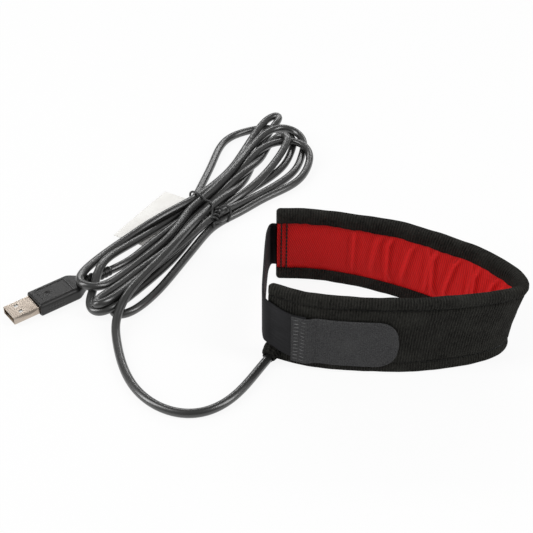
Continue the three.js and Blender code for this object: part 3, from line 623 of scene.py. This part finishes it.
def bandPoint(at, depth, height):
    # a point of the band: at a distance from its near end, deep from its outer face, at a height;
    # between floor and top it leans over like the height's share raised to a power
    at, depth, height = np.broadcast_arrays(np.asarray(at, float), depth, height)
    rise = np.clip(height / band["height"], 0, 1)[..., None] ** band["flare"]
    corners = []
    for line in (floorLine, topLine):
        place, inward = along(line, np.clip(at / bandLength, 0, 1))
        corners.append(place + inward * depth[..., None])
    flat = corners[0] * (1 - rise) + corners[1] * rise
    return np.concatenate([flat, height[..., None]], axis=-1)


# the cover's section, in millimetres: depth from its outer face and height
coverVisible = [
    (5.3, 39.1), (5.6, 40.2), (6.0, 42.2), (6.1, 44.2), (5.6, 46.0), (4.4, 47.0), (2.8, 47.3), (1.2, 47.0),
    (0.15, 46.0), (-0.35, 44.6), (-0.3, 43.1), (0.2, 42.1), (0.85, 41.5), (0.3, 40.9), (-0.1, 39.9),
    (-0.15, 37.5),
    (0, 31), (0, 24), (0, 17), (-0.1, 11), (-0.15, 8.8), (0.2, 7.3), (0.85, 6.5), (0.2, 5.7), (-0.35, 4.6),
    (-0.5, 2.8), (-0.3, 1.0), (0.3, 0.15), (1.4, 0.0), (3.8, 0.0), (5.2, 0.3), (5.9, 1.5), (6.0, 3.8),
    (5.7, 6.3), (5.3, 7.8),
]
coverHidden = [
    (4.75, 7.9), (4.6, 7.0), (4.6, 3.0), (4.2, 1.8), (2.7, 1.4), (1.5, 1.8), (1.15, 3.0), (1.15, 14.0),
    (1.15, 24.0),
    (1.15, 34.0), (1.15, 43.4), (1.6, 44.7), (2.7, 45.2), (4.2, 44.8), (4.6, 43.4), (4.6, 40.0), (4.75, 39.0),
]


def makeCover():
    # the section carried along the band; near each end it closes in to a rounded edge
    seen = smoothCurve(np.array(coverVisible), 0.5)
    section = np.vstack([seen, coverHidden]) * mm
    hidden = np.arange(len(section)) >= len(seen)
    edge = band["edgeRound"]
    inner = np.linspace(edge, bandLength - edge, band["stations"] - 20)
    lead = edge * (1 - np.cos(np.linspace(0, math.pi / 2, 11)[:-1]))
    at = np.concatenate([lead, inner, bandLength - lead[::-1]])
    fromEnd = np.clip(np.minimum(at, bandLength - at) / edge, 0, 1)
    squeeze = np.sqrt(np.maximum(1 - (1 - fromEnd) ** 2, 0.0016))[:, None]
    depth, height = section[None, :, 0], section[None, :, 1]
    at = np.broadcast_to(at[:, None], (len(at), len(section)))
    show = np.where(hidden, 0.0, 1.0)[None, :]

    def near(level, reach):
        return np.exp(-((height - level * mm) / (reach * mm)) ** 2)

    # puckers between stitches: the groove dips at every stitch, and the rolls beside it swell
    stitch = 0.5 - 0.5 * np.cos(at / band["stitchPitch"] * tau + ripple(at, height, 0.05, 3))
    outer = (depth < 2.2 * mm) * show
    pull = (near(41.5, 0.9) + near(6.5, 0.9)) * (0.5 - stitch)
    swell = (near(44.3, 1.6) + near(3.8, 1.6)) * (stitch - 0.4)
    depth = depth + outer * band["pucker"] * (1.2 * pull - 0.6 * swell)
    uneven = 0.16 * ripple(at, height, 0.012, 5) - 0.3 * ripple(at, height, 0.05, 6)
    depth = depth - outer * uneven * mm
    # the hems wave a little along their inner edges and are not quite even in height
    inside = (section[None, :, 0] > 3.2 * mm) * show
    hemEdge = inside * (near(39.1, 3.0) + near(7.8, 3.0))
    hemWave = ripple(at, 0 * at, 0.02, 11) + 0.6 * ripple(at, 0 * at, 0.008, 12)
    height = height + hemEdge * band["hemWave"] * hemWave
    depth = depth + inside * 0.22 * mm * ripple(at, height, 0.014, 13)
    height = height + near(46.5, 1.5) * show * 0.22 * mm * ripple(at, 0 * at, 0.03, 14)
    middle = np.array([2.7 * mm, 23.2 * mm])
    depth = middle[0] + (depth - middle[0]) * squeeze
    height = middle[1] + (height - middle[1]) * (1 - (1 - squeeze) * 0.06)
    height = np.maximum(height, 0.02 * mm)
    run = runAlong(section)
    uv = joined(at, run[None, :])
    piece = skin("cover", bandPoint(at, depth, height), pileCloth, uv)
    print("cover made")
    return piece


# each fold of the lining: its place along the band and its width in millimetres, how far it leans and
# bows with height, and its size
liningFolds = [
    (240, 1.5, 2, 0, 0.8), (226, 2.0, -3, 2, 0.5), (217, 1.7, 5, 3, 1.1), (207, 2.0, -5, 2, 0.8),
    (198, 1.5, 4, -2, 0.7),
    (190, 1.7, 7, 3, 1.1), (181, 1.6, -5, 2, 0.9), (172, 1.5, 3, -2, 0.7), (165, 1.6, 6, 2, 1.1),
    (156, 1.5, -4, 2, 0.9),
    (148, 1.6, 3, 2, 0.9), (138, 1.8, 4, 0, 0.7), (122, 2.2, 4, 0, 0.6),
]


def makeLining():
    # red nylon held between the hems: a crease, and soft puckers where the band bends
    heights = np.linspace(5.2, 41.8, 62) * mm
    back = np.array([41.8, 30, 17, 5.2]) * mm
    level = np.concatenate([heights, back])[None, :]
    front = np.arange(level.size) < len(heights)
    at = np.linspace(0.6 * mm, bandLength - 0.6 * mm, 560)[:, None]
    at, level = np.broadcast_arrays(at, level)
    free = np.clip((level - 7.4 * mm) / (7 * mm), 0, 1) * np.clip((39.6 * mm - level) / (7 * mm), 0, 1)

    def fold(place, width, lean, bow=0.0):
        # one fold: a soft ridge at a distance along the band, leaning and bowed with height
        middle = (place + lean * (level / band["height"] - 0.5)) * mm + bow * mm * free
        return np.exp(-((at - middle) / (width * mm)) ** 2)

    lift = 0.15 * ripple(at, level, 0.03, 21) + 0.05 * ripple(at, level, 0.009, 22)
    for place, width, lean, bow, size in liningFolds:
        hollowBeside = fold(place + 1.5 * width, width, lean, bow)
        lift = lift + size * (fold(place, width, lean, bow) - 0.7 * hollowBeside)
    wave = (np.clip(lift, -0.3, 1.4) + 0.25) * 1.1 * mm * free
    depth = np.where(front[None, :], 4.38 * mm, 4.05 * mm) + wave
    piece = skin("lining", bandPoint(at, depth, level), redNylon, np.stack([at, level], axis=-1))
    print("lining made")
    return piece


def bandStitches(name, height, material):
    # one row of long stitches in a groove of the cover
    pitch = band["stitchPitch"]
    count = int((bandLength - 4 * mm) / pitch)
    start = 2 * mm + np.arange(count) * pitch
    first = bandPoint(start + 0.25 * mm, 0.55 * mm, height * mm)
    last = bandPoint(start + pitch - 0.25 * mm, 0.55 * mm, height * mm)
    out = bandPoint(start + pitch / 2, -1 * mm, height * mm) - bandPoint(start + pitch / 2, 0, height * mm)
    out /= np.linalg.norm(out, axis=1)[:, None]
    return stitches(name, first, last, out, 0.42 * mm, 0.12 * mm, material)


def endStitches(name, inset):
    # one upright row across the lining near the band's far end
    level = np.arange(8.0, 38.8, 2.5) * mm
    at = bandLength - inset * mm
    first = bandPoint(at, 5.0 * mm, level)
    last = bandPoint(at + 0.1 * mm, 5.0 * mm, level + 2.35 * mm)
    out = bandPoint(at, 6 * mm, level) - bandPoint(at, 5 * mm, level)
    out /= np.linalg.norm(out, axis=1)[:, None]
    return stitches(name, first, last, out, 0.9 * mm, 0.3 * mm, plastics["blackThread"])


coverPiece = makeCover()
liningPiece = makeLining()
longSeams = [
    bandStitches("topSeam", 41.5, plastics["blackThread"]),
    bandStitches("bottomSeam", 6.5, plastics["blackThread"]),
]
endSeams = [endStitches("endSeamOuter", 2.9), endStitches("endSeamInner", 5.8)]


# strap, tab and their stitching

strap = {"height": 28.5 * mm, "thickness": 1.3 * mm, "level": 20.2 * mm}
tab = {"height": 30 * mm, "thickness": 1.3 * mm, "level": 19.7 * mm, "start": 15, "end": 70.2, "round": 12}


def ribbonSection(width, height, count):
    # an upright rounded strip's section: across and up, shares of its half height on the long faces
    up = np.linspace(-1, 1, count) * (height / 2 - width / 2)
    turn = np.linspace(0, math.pi, 7)[1:-1]
    right = np.column_stack([np.full(count, width / 2), up])
    top = np.column_stack([np.cos(turn) * width / 2, up[-1] + np.sin(turn) * width / 2])
    return np.vstack([right, top, -right, -top])


def ribbonGrid(line, section, scale=1.0):
    # the section stands on the line: thickness across it, height straight up
    heading = np.gradient(line, axis=0)
    side = np.column_stack([heading[:, 1], -heading[:, 0], np.zeros(len(line))])
    side /= np.linalg.norm(side, axis=1)[:, None]
    up = section[None, :, 1] * np.broadcast_to(scale, (len(line),))[:, None]
    grid = line[:, None] + side[:, None] * section[None, :, 0, None]
    grid[:, :, 2] += up
    return grid


def makeStrap():
    # from behind the far end, round the gap and down along the near side to the tab
    level = strap["level"]
    far, near = bandPoint(bandLength, 0, level), bandPoint(0.0, 0, level)

    def against(place, rise):
        return bandPoint(place, -0.95 * mm, level + rise * mm)

    route = [against(bandLength - back * mm, 0) for back in (13, 6.5, 0.4)]
    route += [far + np.array(step) * mm for step in ((-2.6, 0.5, 0.4), (-4.6, -5.5, 1.2), (-5.6, -16, 2.2))]
    downNear = ((-1.3, 25, 4.4), (-1.8, 10, 5.8), (-1.7, 3.5, 6.3), (-0.8, -1, 6))
    route += [near + np.array(step) * mm for step in downNear]
    route += [against(place * mm, rise) for place, rise in ((4, 3.4), (9, 1.2), (15, 0), (22, 0))]
    line = smoothCurve(np.array(route), 0.8 * mm)
    section = ribbonSection(strap["thickness"], strap["height"], 40)
    grid = ribbonGrid(line, section)
    run = runAlong(line)
    uv = joined(run[:, None], section[None, :, 1])
    piece = skin("strap", grid, elasticWebbing, uv)
    print("strap made")
    return piece


def makeTab():
    # hook tape sewn over the strap's end, pressed down on the cover, its free end rounded
    places = (tab["start"], 19.5, 22.8, 27, 37, 47, 57, tab["end"])
    depths = (-2.55, -2.55, -2.55, -0.98, -0.95, -0.95, -0.95, -0.95)
    points = np.array([bandPoint(at * mm, depth * mm, tab["level"]) for at, depth in zip(places, depths)])
    line = smoothCurve(points, 0.5 * mm)
    run = runAlong(line)
    total = run[-1]
    share = np.concatenate([np.linspace(0, 1 - tab["round"] * mm / total, 90)[:-1],
                            1 - tab["round"] * mm / total * np.cos(np.linspace(0, math.pi / 2, 26))])
    line = np.stack([np.interp(share * total, run, line[:, axis]) for axis in range(3)], axis=1)
    over = np.clip((share * total - (total - tab["round"] * mm)) / (tab["round"] * mm), 0, 1)
    scale = np.maximum((1 - over ** 2.3) ** (1 / 2.3), 0.02)
    section = ribbonSection(tab["thickness"], tab["height"], 44)
    grid = ribbonGrid(line, section, scale)
    uv = joined((share * total)[:, None], section[None, :, 1] * scale[:, None])
    bump = 0.10 * mm * ripple(uv[..., 0], uv[..., 1], 0.006, 31)
    away = grid - line[:, None]
    away[:, :, 2] = 0
    away /= np.maximum(np.linalg.norm(away, axis=2, keepdims=True), 1e-6)
    outer = (section[:, 0] > 0)[None, :, None]
    grid = grid + away * bump[..., None] * outer
    return skin("tab", grid, hookCloth, uv)


def makeTabStitching():
    # two columns of short bars that sew the tab to the strap, one zigzag row after another
    rows = np.arange(12)
    level = (33.0 - rows * 2.35) * mm
    starts, ends = [], []
    for column, lean in ((16.2, 0.5), (19.6, -0.5)):
        starts.append(bandPoint(column * mm, -3.2 * mm, level))
        ends.append(bandPoint((column + 2.7) * mm, -3.2 * mm, level + lean * mm))
    starts, ends = np.vstack(starts), np.vstack(ends)
    out = bandPoint(18 * mm, -4 * mm, 20 * mm) - bandPoint(18 * mm, -3 * mm, 20 * mm)
    out = np.broadcast_to(out / np.linalg.norm(out), starts.shape)
    return stitches("tabStitching", starts, ends, out, 0.45 * mm, 0.2 * mm, plastics["greyThread"])


strapPiece = makeStrap()
tabPiece = makeTab()
tabStitchPiece = makeTabStitching()


# sleeve that the cable leaves by

sleeve = {"wide": (10.5 * mm, 8.8 * mm), "mouth": 7.2 * mm, "bore": 5.3 * mm, "length": 6.2 * mm, "folds": 9}
exitHeading = np.array([-0.487, -0.8734, 0.0])


def makeSleeve():
    # gathered cloth: folds run along it, deep at the mouth, and it turns in round the cable
    angle = np.arange(120) / 120 * tau
    share = np.linspace(0, 1, 34)
    start = np.array([*cableExit, 0.0]) - exitHeading * 5.4 * mm
    side = np.array([-exitHeading[1], exitHeading[0], 0.0])
    ease = share ** 1.6
    outer = [np.interp(ease, (0, 1), (full, sleeve["mouth"])) / 2 for full in sleeve["wide"]]
    lip = np.linspace(0, math.pi, 8)[1:-1]
    middle = (sleeve["mouth"] + sleeve["bore"]) / 4
    thick = (sleeve["mouth"] - sleeve["bore"]) / 4
    radiusA = np.concatenate([outer[0], middle + thick * np.cos(lip), np.full(6, sleeve["bore"] / 2)])
    radiusB = np.concatenate([outer[1], middle + thick * np.cos(lip), np.full(6, sleeve["bore"] / 2)])
    length = sleeve["length"]
    reach = np.concatenate([share * length, length + thick * np.sin(lip), length * np.linspace(1, 0.1, 6)])
    isOuter = np.concatenate([0.35 + 0.65 * share, np.linspace(1, 0.2, 6), np.zeros(6)])[:, None]
    wave = np.sin(angle * sleeve["folds"] + 0.8 * np.sin(angle * 2 + 1))[None, :] * isOuter * 0.38 * mm
    wave = wave + isOuter * 0.15 * mm * ripple(reach[:, None], angle[None, :] * 3 * mm, 0.004, 41)
    across = (radiusA[:, None] + wave) * np.cos(angle)[None, :]
    upward = (radiusB[:, None] + wave) * np.sin(angle)[None, :]
    level = np.maximum(radiusB, cable["diameter"] / 2 + 0.6 * mm)
    cableLevel = cable["diameter"] / 2 + 0.2 * mm
    level = np.where(isOuter[:, 0] > 0, np.maximum(level, radiusB + 0.3 * mm), cableLevel)
    grid = start[None, None] + exitHeading * reach[:, None, None] + side * across[..., None]
    grid = grid + np.array([0.0, 0.0, 1.0]) * np.maximum(level[:, None] + upward, 0.05 * mm)[..., None]
    uv = joined(reach[:, None], angle[None, :] * 4 * mm)
    return skin("sleeve", grid, pileCloth, uv, closed=True)


sleevePiece = makeSleeve()


# plug

plug = {
    "body": (25.0, 16.2, 8.0), "taper": 8.0, "rear": (9.0, 7.0), "corner": 2.1, "relief": (15.0, 3.4, 2.7),
    "panel": (4.0, 21.5, 5.6), "dimple": (8.5, 1.5, 0.45),
}


def softStep(value, low, high):
    share = np.clip((value - low) / (high - low), 0, 1)
    return share * share * (3 - 2 * share)


def roundedRing(width, height, corner, count):
    # points of a rounded rectangle, evenly spread along its edge, for every station at once
    w, h, r = (np.asarray(a, float)[:, None] for a in (width / 2, height / 2, corner))
    turn = np.linspace(0, math.pi / 2, 12)
    xs, ys = [], []
    for sx, sy, flip in ((1, 1, 0), (-1, 1, 1), (-1, -1, 0), (1, -1, 1)):
        arc = turn[::-1] if flip else turn
        xs.append(sx * (w - r + r * np.cos(arc)))
        ys.append(sy * (h - r + r * np.sin(arc)))
    x, y = np.concatenate(xs, axis=1), np.concatenate(ys, axis=1)
    x, y = np.column_stack([x, x[:, 0]]), np.column_stack([y, y[:, 0]])
    ringX, ringY = np.zeros((len(x), count)), np.zeros((len(x), count))
    for row in range(len(x)):
        run = np.concatenate([[0], np.cumsum(np.hypot(np.diff(x[row]), np.diff(y[row])))])
        at = np.linspace(0, run[-1], count + 1)[:-1]
        ringX[row], ringY[row] = np.interp(at, run, x[row]), np.interp(at, run, y[row])
    return ringX, ringY


def makePlugBody():
    # a moulded block that narrows to the cable: a sunk panel with a fine raised rim on top and
    # below, a dimple, and rows of grip dots on both sides
    length, width, height = plug["body"]
    end = length + plug["taper"]
    front = 0.9
    nose = front * (1 - np.cos(np.linspace(0, math.pi / 2, 9)[:-1]))
    heel = end - 0.5 + 0.5 * np.sin(np.linspace(0, math.pi / 2, 7)[1:])
    x = np.concatenate([nose, np.linspace(front, end - 0.5, 150), heel])
    waist = softStep(x, length - 1.5, end - 1.0)
    w = width + (plug["rear"][0] - width) * waist
    h = height + (plug["rear"][1] - height) * waist
    shrink = front * (1 - np.sqrt(np.clip(1 - (1 - x / front) ** 2, 0, 1))) * (x < front)
    shrink = shrink + 0.5 * (1 - np.sqrt(np.clip(1 - ((x - end + 0.5) / 0.5) ** 2, 0, 1))) * (x > end - 0.5)
    w, h = w - 2 * shrink, h - 2 * shrink
    corner = np.minimum(plug["corner"] + 0.8 * waist, h / 2 - 0.1)
    y, z = roundedRing(w, h, corner, 168)
    lengthways = x[:, None]
    low, high, half = plug["panel"]
    inPanel = softStep(lengthways, low - 0.25, low + 0.25) * (1 - softStep(lengthways, high - 0.25, high + 0.25))
    inPanel = inPanel * (1 - softStep(np.abs(y), half - 0.25, half + 0.25))
    rim = inPanel * (1 - inPanel) * 4
    place, size, deep = plug["dimple"]
    pit = np.exp(-(((lengthways - place) ** 2 + y ** 2) / size ** 2) ** 2)
    flat = (np.abs(z) > h[:, None] / 2 - 0.3)
    z = z - np.sign(z) * flat * (0.22 * inPanel - 0.22 * rim + deep * pit * (z > 0))
    dotRow = np.minimum(np.abs(z - 1.0), np.abs(z + 1.0))
    dotPlace = np.abs((lengthways - 5.0 + 0.9) % 1.8 - 0.9)
    onGrip = (lengthways > 4.2) * (lengthways < 14.6) * (np.abs(y) > w[:, None] / 2 - 0.4)
    dots = np.exp(-(dotRow ** 2 + dotPlace ** 2) / 0.16) * onGrip
    y = y + np.sign(y) * 0.28 * dots
    grid = plugPoint(lengthways * mm, y * mm, z * mm)
    return skin("plugBody", grid, plastics["plugRubber"])


def makeRelief():
    # ribs on a neck round the cable, with soft edges
    length, crown, neck = plug["relief"]
    start = plug["body"][0] + plug["taper"] + 0.2
    x = np.linspace(0, length, 190)
    beat = (x / length * 5.5) % 1.0
    rib = softStep(beat, 0.0, 0.14) * (1 - softStep(beat, 0.56, 0.72))
    full = crown - 0.04 * x
    radius = neck + (full - neck) * rib
    radius = np.where(x > length - 0.5, np.minimum(radius, neck + 0.1), radius)
    x = np.concatenate([[0.0], x, [length, length - 0.2]])
    radius = np.concatenate([[2.2], radius, [2.62, 2.45]])
    angle = np.arange(48) / 48 * tau
    radius = radius[:, None] * mm
    grid = plugPoint((start + x)[:, None] * mm, radius * np.cos(angle), radius * np.sin(angle))
    return skin("strainRelief", grid, plastics["plugRubber"])


def softenShell():
    # the metal shell keeps its mesh, with its edges joined and slightly rounded
    shell = nodes["plug_shell"]
    weld = shell.modifiers.new("joinEdges", "WELD")
    weld.merge_threshold = 0.005 * mm
    bevel = shell.modifiers.new("softEdges", "BEVEL")
    bevel.width = 0.16 * mm
    bevel.segments = 2
    bevel.limit_method = "ANGLE"
    return shell


plugBodyPiece = makePlugBody()
reliefPiece = makeRelief()
softenShell()
print("plug made")


# twist tie and tag

tie = {
    "wire": 1.35 * mm, "place": (-104.3, 92.7), "knotStart": (4.2, 12.0, 10.6), "knotEnd": (-2.6, 14.4, 7.2),
    "knotTurns": 3.5, "knotRadius": 1.5,
}
# along the hank, across it and up, in millimetres from the tie's place: the tail and the loop before
# the knot, then once round the bundle and back to the knot's other end
tieLoop = [
    (6.0, 16.8, 2.2), (7.6, 16.9, 4.4), (9.6, 16.2, 6.9), (10.6, 14.2, 9.0), (9.3, 12.4, 10.3),
    (6.8, 11.6, 10.9),
]
tieOver = [(1.0, 9.6), (4.0, 6.7), (5.4, 3.0), (6.2, -0.5), (7.0, -4.5), (7.6, -8.5), (8.0, -12.0)]
tieUnder = [
    (8.3, -14.9, 8.0), (8.4, -16.6, 5.8), (7.9, -15.9, 3.6), (7.3, -13.2, 1.3), (6.2, -8, 0.8), (5.0, 0, 0.8),
    (4.0, 8, 0.8), (3.0, 14.0, 1.4), (0.8, 17.0, 4.5), (-1.8, 17.0, 6.4), (-4.0, 15.8, 6.8),
    (-5.4, 16.8, 4.8),
]


def tiePoint(lean, across, rise):
    c, s = math.cos(hank["heading"]), math.sin(hank["heading"])
    x = tie["place"][0] + lean * c + across * s
    y = tie["place"][1] + lean * s - across * c
    return (x * mm, y * mm, rise * mm)


def bundleTop(lean, across):
    # how high a wire lies on the bundle: it spans from strand to strand, like a stiff sheet would
    x, y, _ = tiePoint(lean, across, 0)
    away = np.hypot(cableLine[:, 0] - x, cableLine[:, 1] - y)
    top = cableLine[:, 2] + (cable["diameter"] + tie["wire"]) / 2 - 60 * away ** 2
    return float(top.max()) / mm


def makeTie():
    knot = []
    start, end = np.array(tie["knotStart"]), np.array(tie["knotEnd"])
    for share in np.linspace(0, 1, 29):
        spin = share * tie["knotTurns"] * tau
        ring = np.array([0.3 * math.cos(spin), math.cos(spin), math.sin(spin)]) * tie["knotRadius"]
        knot.append(tiePoint(*(start + (end - start) * share + ring)))
    over = [tiePoint(lean, across, bundleTop(lean, across)) for lean, across in tieOver]
    route = [tiePoint(*place) for place in tieLoop] + knot + over + [tiePoint(*place) for place in tieUnder]
    line = smoothCurve(np.array(route), 0.4 * mm)
    return tube("twistTie", line, tie["wire"] / 2, 10, plastics["tiePlastic"], upright=(0.31, 0.27, 0.91))


def makeTag():
    # a plain paper flag that lies under the hank, its free corners lifted a little
    heading = math.radians(238)
    length, width, thickness = 52.0, 22.0, 0.35
    u = np.linspace(0, length, 80)[:, None]
    v = np.linspace(0, width, 36)
    ringV = np.concatenate([v, v[::-1]])[None, :]
    top = (np.arange(72) < 36)[None, :]
    lift = 1.3 + 0.9 * (np.abs(u - length / 2) / (length / 2)) ** 2.5 * (ringV / width - 0.2)
    lift = lift + 0.12 * ripple(u * mm, ringV * mm, 0.03, 51)
    z = np.maximum(lift, 0.25) + np.where(top, thickness, 0.0)
    x = -127.06 + u * math.cos(heading) - ringV * math.sin(heading)
    y = 118.3 + u * math.sin(heading) + ringV * math.cos(heading)
    grid = joined(x, y, z) * mm
    return skin("tag", grid, plastics["tagPaper"])


tiePiece = makeTie()
tagPiece = makeTag()
print("tie and tag made")


# carried-over nodes: materials

nodeMaterials = {
    "insulation_foam": plastics["greyFoam"], "heater_film": plastics["amberFilm"],
    "heater_track": plastics["foilTrack"], "terminal_pad_a": plastics["copperPad"],
    "terminal_pad_b": plastics["copperPad"], "lead_wire_black": plastics["blackInsulation"],
    "lead_wire_red": plastics["redInsulation"], "plug_shell": plastics["plugSteel"],
    "plug_insulator": plastics["whitePlastic"],
    **{f"plug_contact_{number}": plastics["goldPlate"] for number in (1, 2, 3, 4)},
}
for name, material in nodeMaterials.items():
    nodes[name].data.materials.clear()
    nodes[name].data.materials.append(material)


# pieces in place of their plain nodes

standIns = [
    (cablePiece, ["cable_run", "cable_hank"], "cable_jacket"),
    (coverPiece, ["outer_cover"], "pile_cloth"),
    (liningPiece, ["red_lining"], "red_nylon"),
    (longSeams[0], ["hem_thread_top"], "black_thread"),
    (longSeams[1], ["hem_thread_bottom"], "black_thread"),
    (endSeams[0], ["end_stitch_a"], "black_thread"),
    (endSeams[1], ["end_stitch_b"], "black_thread"),
    (strapPiece, ["elastic_strap"], "elastic_webbing"),
    (tabPiece, ["hook_tab"], "hook_cloth"),
    (tabStitchPiece, ["tab_stitching"], "grey_thread"),
    (sleevePiece, ["cable_sleeve"], "pile_cloth"),
    (plugBodyPiece, ["plug_body"], "plug_rubber"),
    (reliefPiece, ["plug_strain_relief"], "plug_rubber"),
    (tiePiece, ["twist_tie"], "tie_plastic"),
    (tagPiece, ["flag_tag"], "tag_paper"),
]
for piece, names, slotName in standIns:
    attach(piece, "root")
    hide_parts(*names)

# floor, light and finish

studio = {
    "world": 0.31, "left": 6.2, "right": 5.6, "back": 4.6, "floorWhite": 0.9, "aim": (-0.05, 0.03, 0.0),
    "sideSize": (0.24, 0.95), "backSize": (1.7, 0.12),
}


def makeFloor():
    # a wide pale floor: the camera and mirrors see it mostly white, and its shadows stay soft
    material, tree, shader = newMaterial("paleFloor")
    shader.inputs["Base Color"].default_value = (0.9, 0.9, 0.9, 1)
    shader.inputs["Roughness"].default_value = 0.9
    shader.inputs["Specular IOR Level"].default_value = 0.1
    glow = tree.nodes.new("ShaderNodeEmission")
    rays = tree.nodes.new("ShaderNodeLightPath")
    seen = mathNode(tree, "MAXIMUM", rays.outputs["Is Camera Ray"], rays.outputs["Is Glossy Ray"])
    seen = mathNode(tree, "MAXIMUM", seen, rays.outputs["Is Transmission Ray"])
    seen = mathNode(tree, "MULTIPLY", seen, studio["floorWhite"])
    mix = tree.nodes.new("ShaderNodeMixShader")
    link(tree, seen, mix.inputs[0])
    link(tree, shader.outputs[0], mix.inputs[1])
    link(tree, glow.outputs[0], mix.inputs[2])
    link(tree, mix.outputs[0], tree.nodes["Material Output"].inputs["Surface"])
    size = 6.0
    corners = [(-size, -size, 0), (size, -size, 0), (size, size, 0), (-size, size, 0)]
    mesh = bpy.data.meshes.new("floor")
    mesh.from_pydata(corners, [], [(0, 1, 2, 3)])
    mesh.materials.append(material)
    floor = bpy.data.objects.new("floor", mesh)
    bpy.context.scene.collection.objects.link(floor)


def makeLamp(name, place, size, power):
    # a tall soft box that faces a point
    data = bpy.data.lights.new(name, "AREA")
    data.shape = "RECTANGLE"
    data.size, data.size_y = size
    data.energy = power
    lamp = bpy.data.objects.new(name, data)
    lamp.location = place
    way = np.array(studio["aim"]) - np.array(place)
    flat = math.hypot(way[0], way[1])
    lamp.rotation_euler = (math.atan2(flat, -way[2]), 0, math.atan2(-way[0], way[1]))
    bpy.context.scene.collection.objects.link(lamp)


def makeWorld():
    world = bpy.data.worlds.new("studio")
    world.use_nodes = True
    tree = world.node_tree
    sky = tree.nodes["Background"]
    rays = tree.nodes.new("ShaderNodeLightPath")
    seen = mathNode(tree, "MAXIMUM", rays.outputs["Is Camera Ray"], rays.outputs["Is Transmission Ray"])
    link(tree, rangeOf(tree, seen, studio["world"], 1.0), sky.inputs["Strength"])
    sky.inputs["Color"].default_value = (1, 1, 1, 1)
    bpy.context.scene.world = world


makeFloor()
makeWorld()
makeLamp("leftLamp", (-0.85, -0.15, 0.62), studio["sideSize"], studio["left"])
makeLamp("rightLamp", (0.75, -0.25, 0.70), studio["sideSize"], studio["right"])
makeLamp("backLamp", (-0.05, 1.0, 0.62), studio["backSize"], studio["back"])
bpy.context.scene.view_settings.view_transform = "Standard"
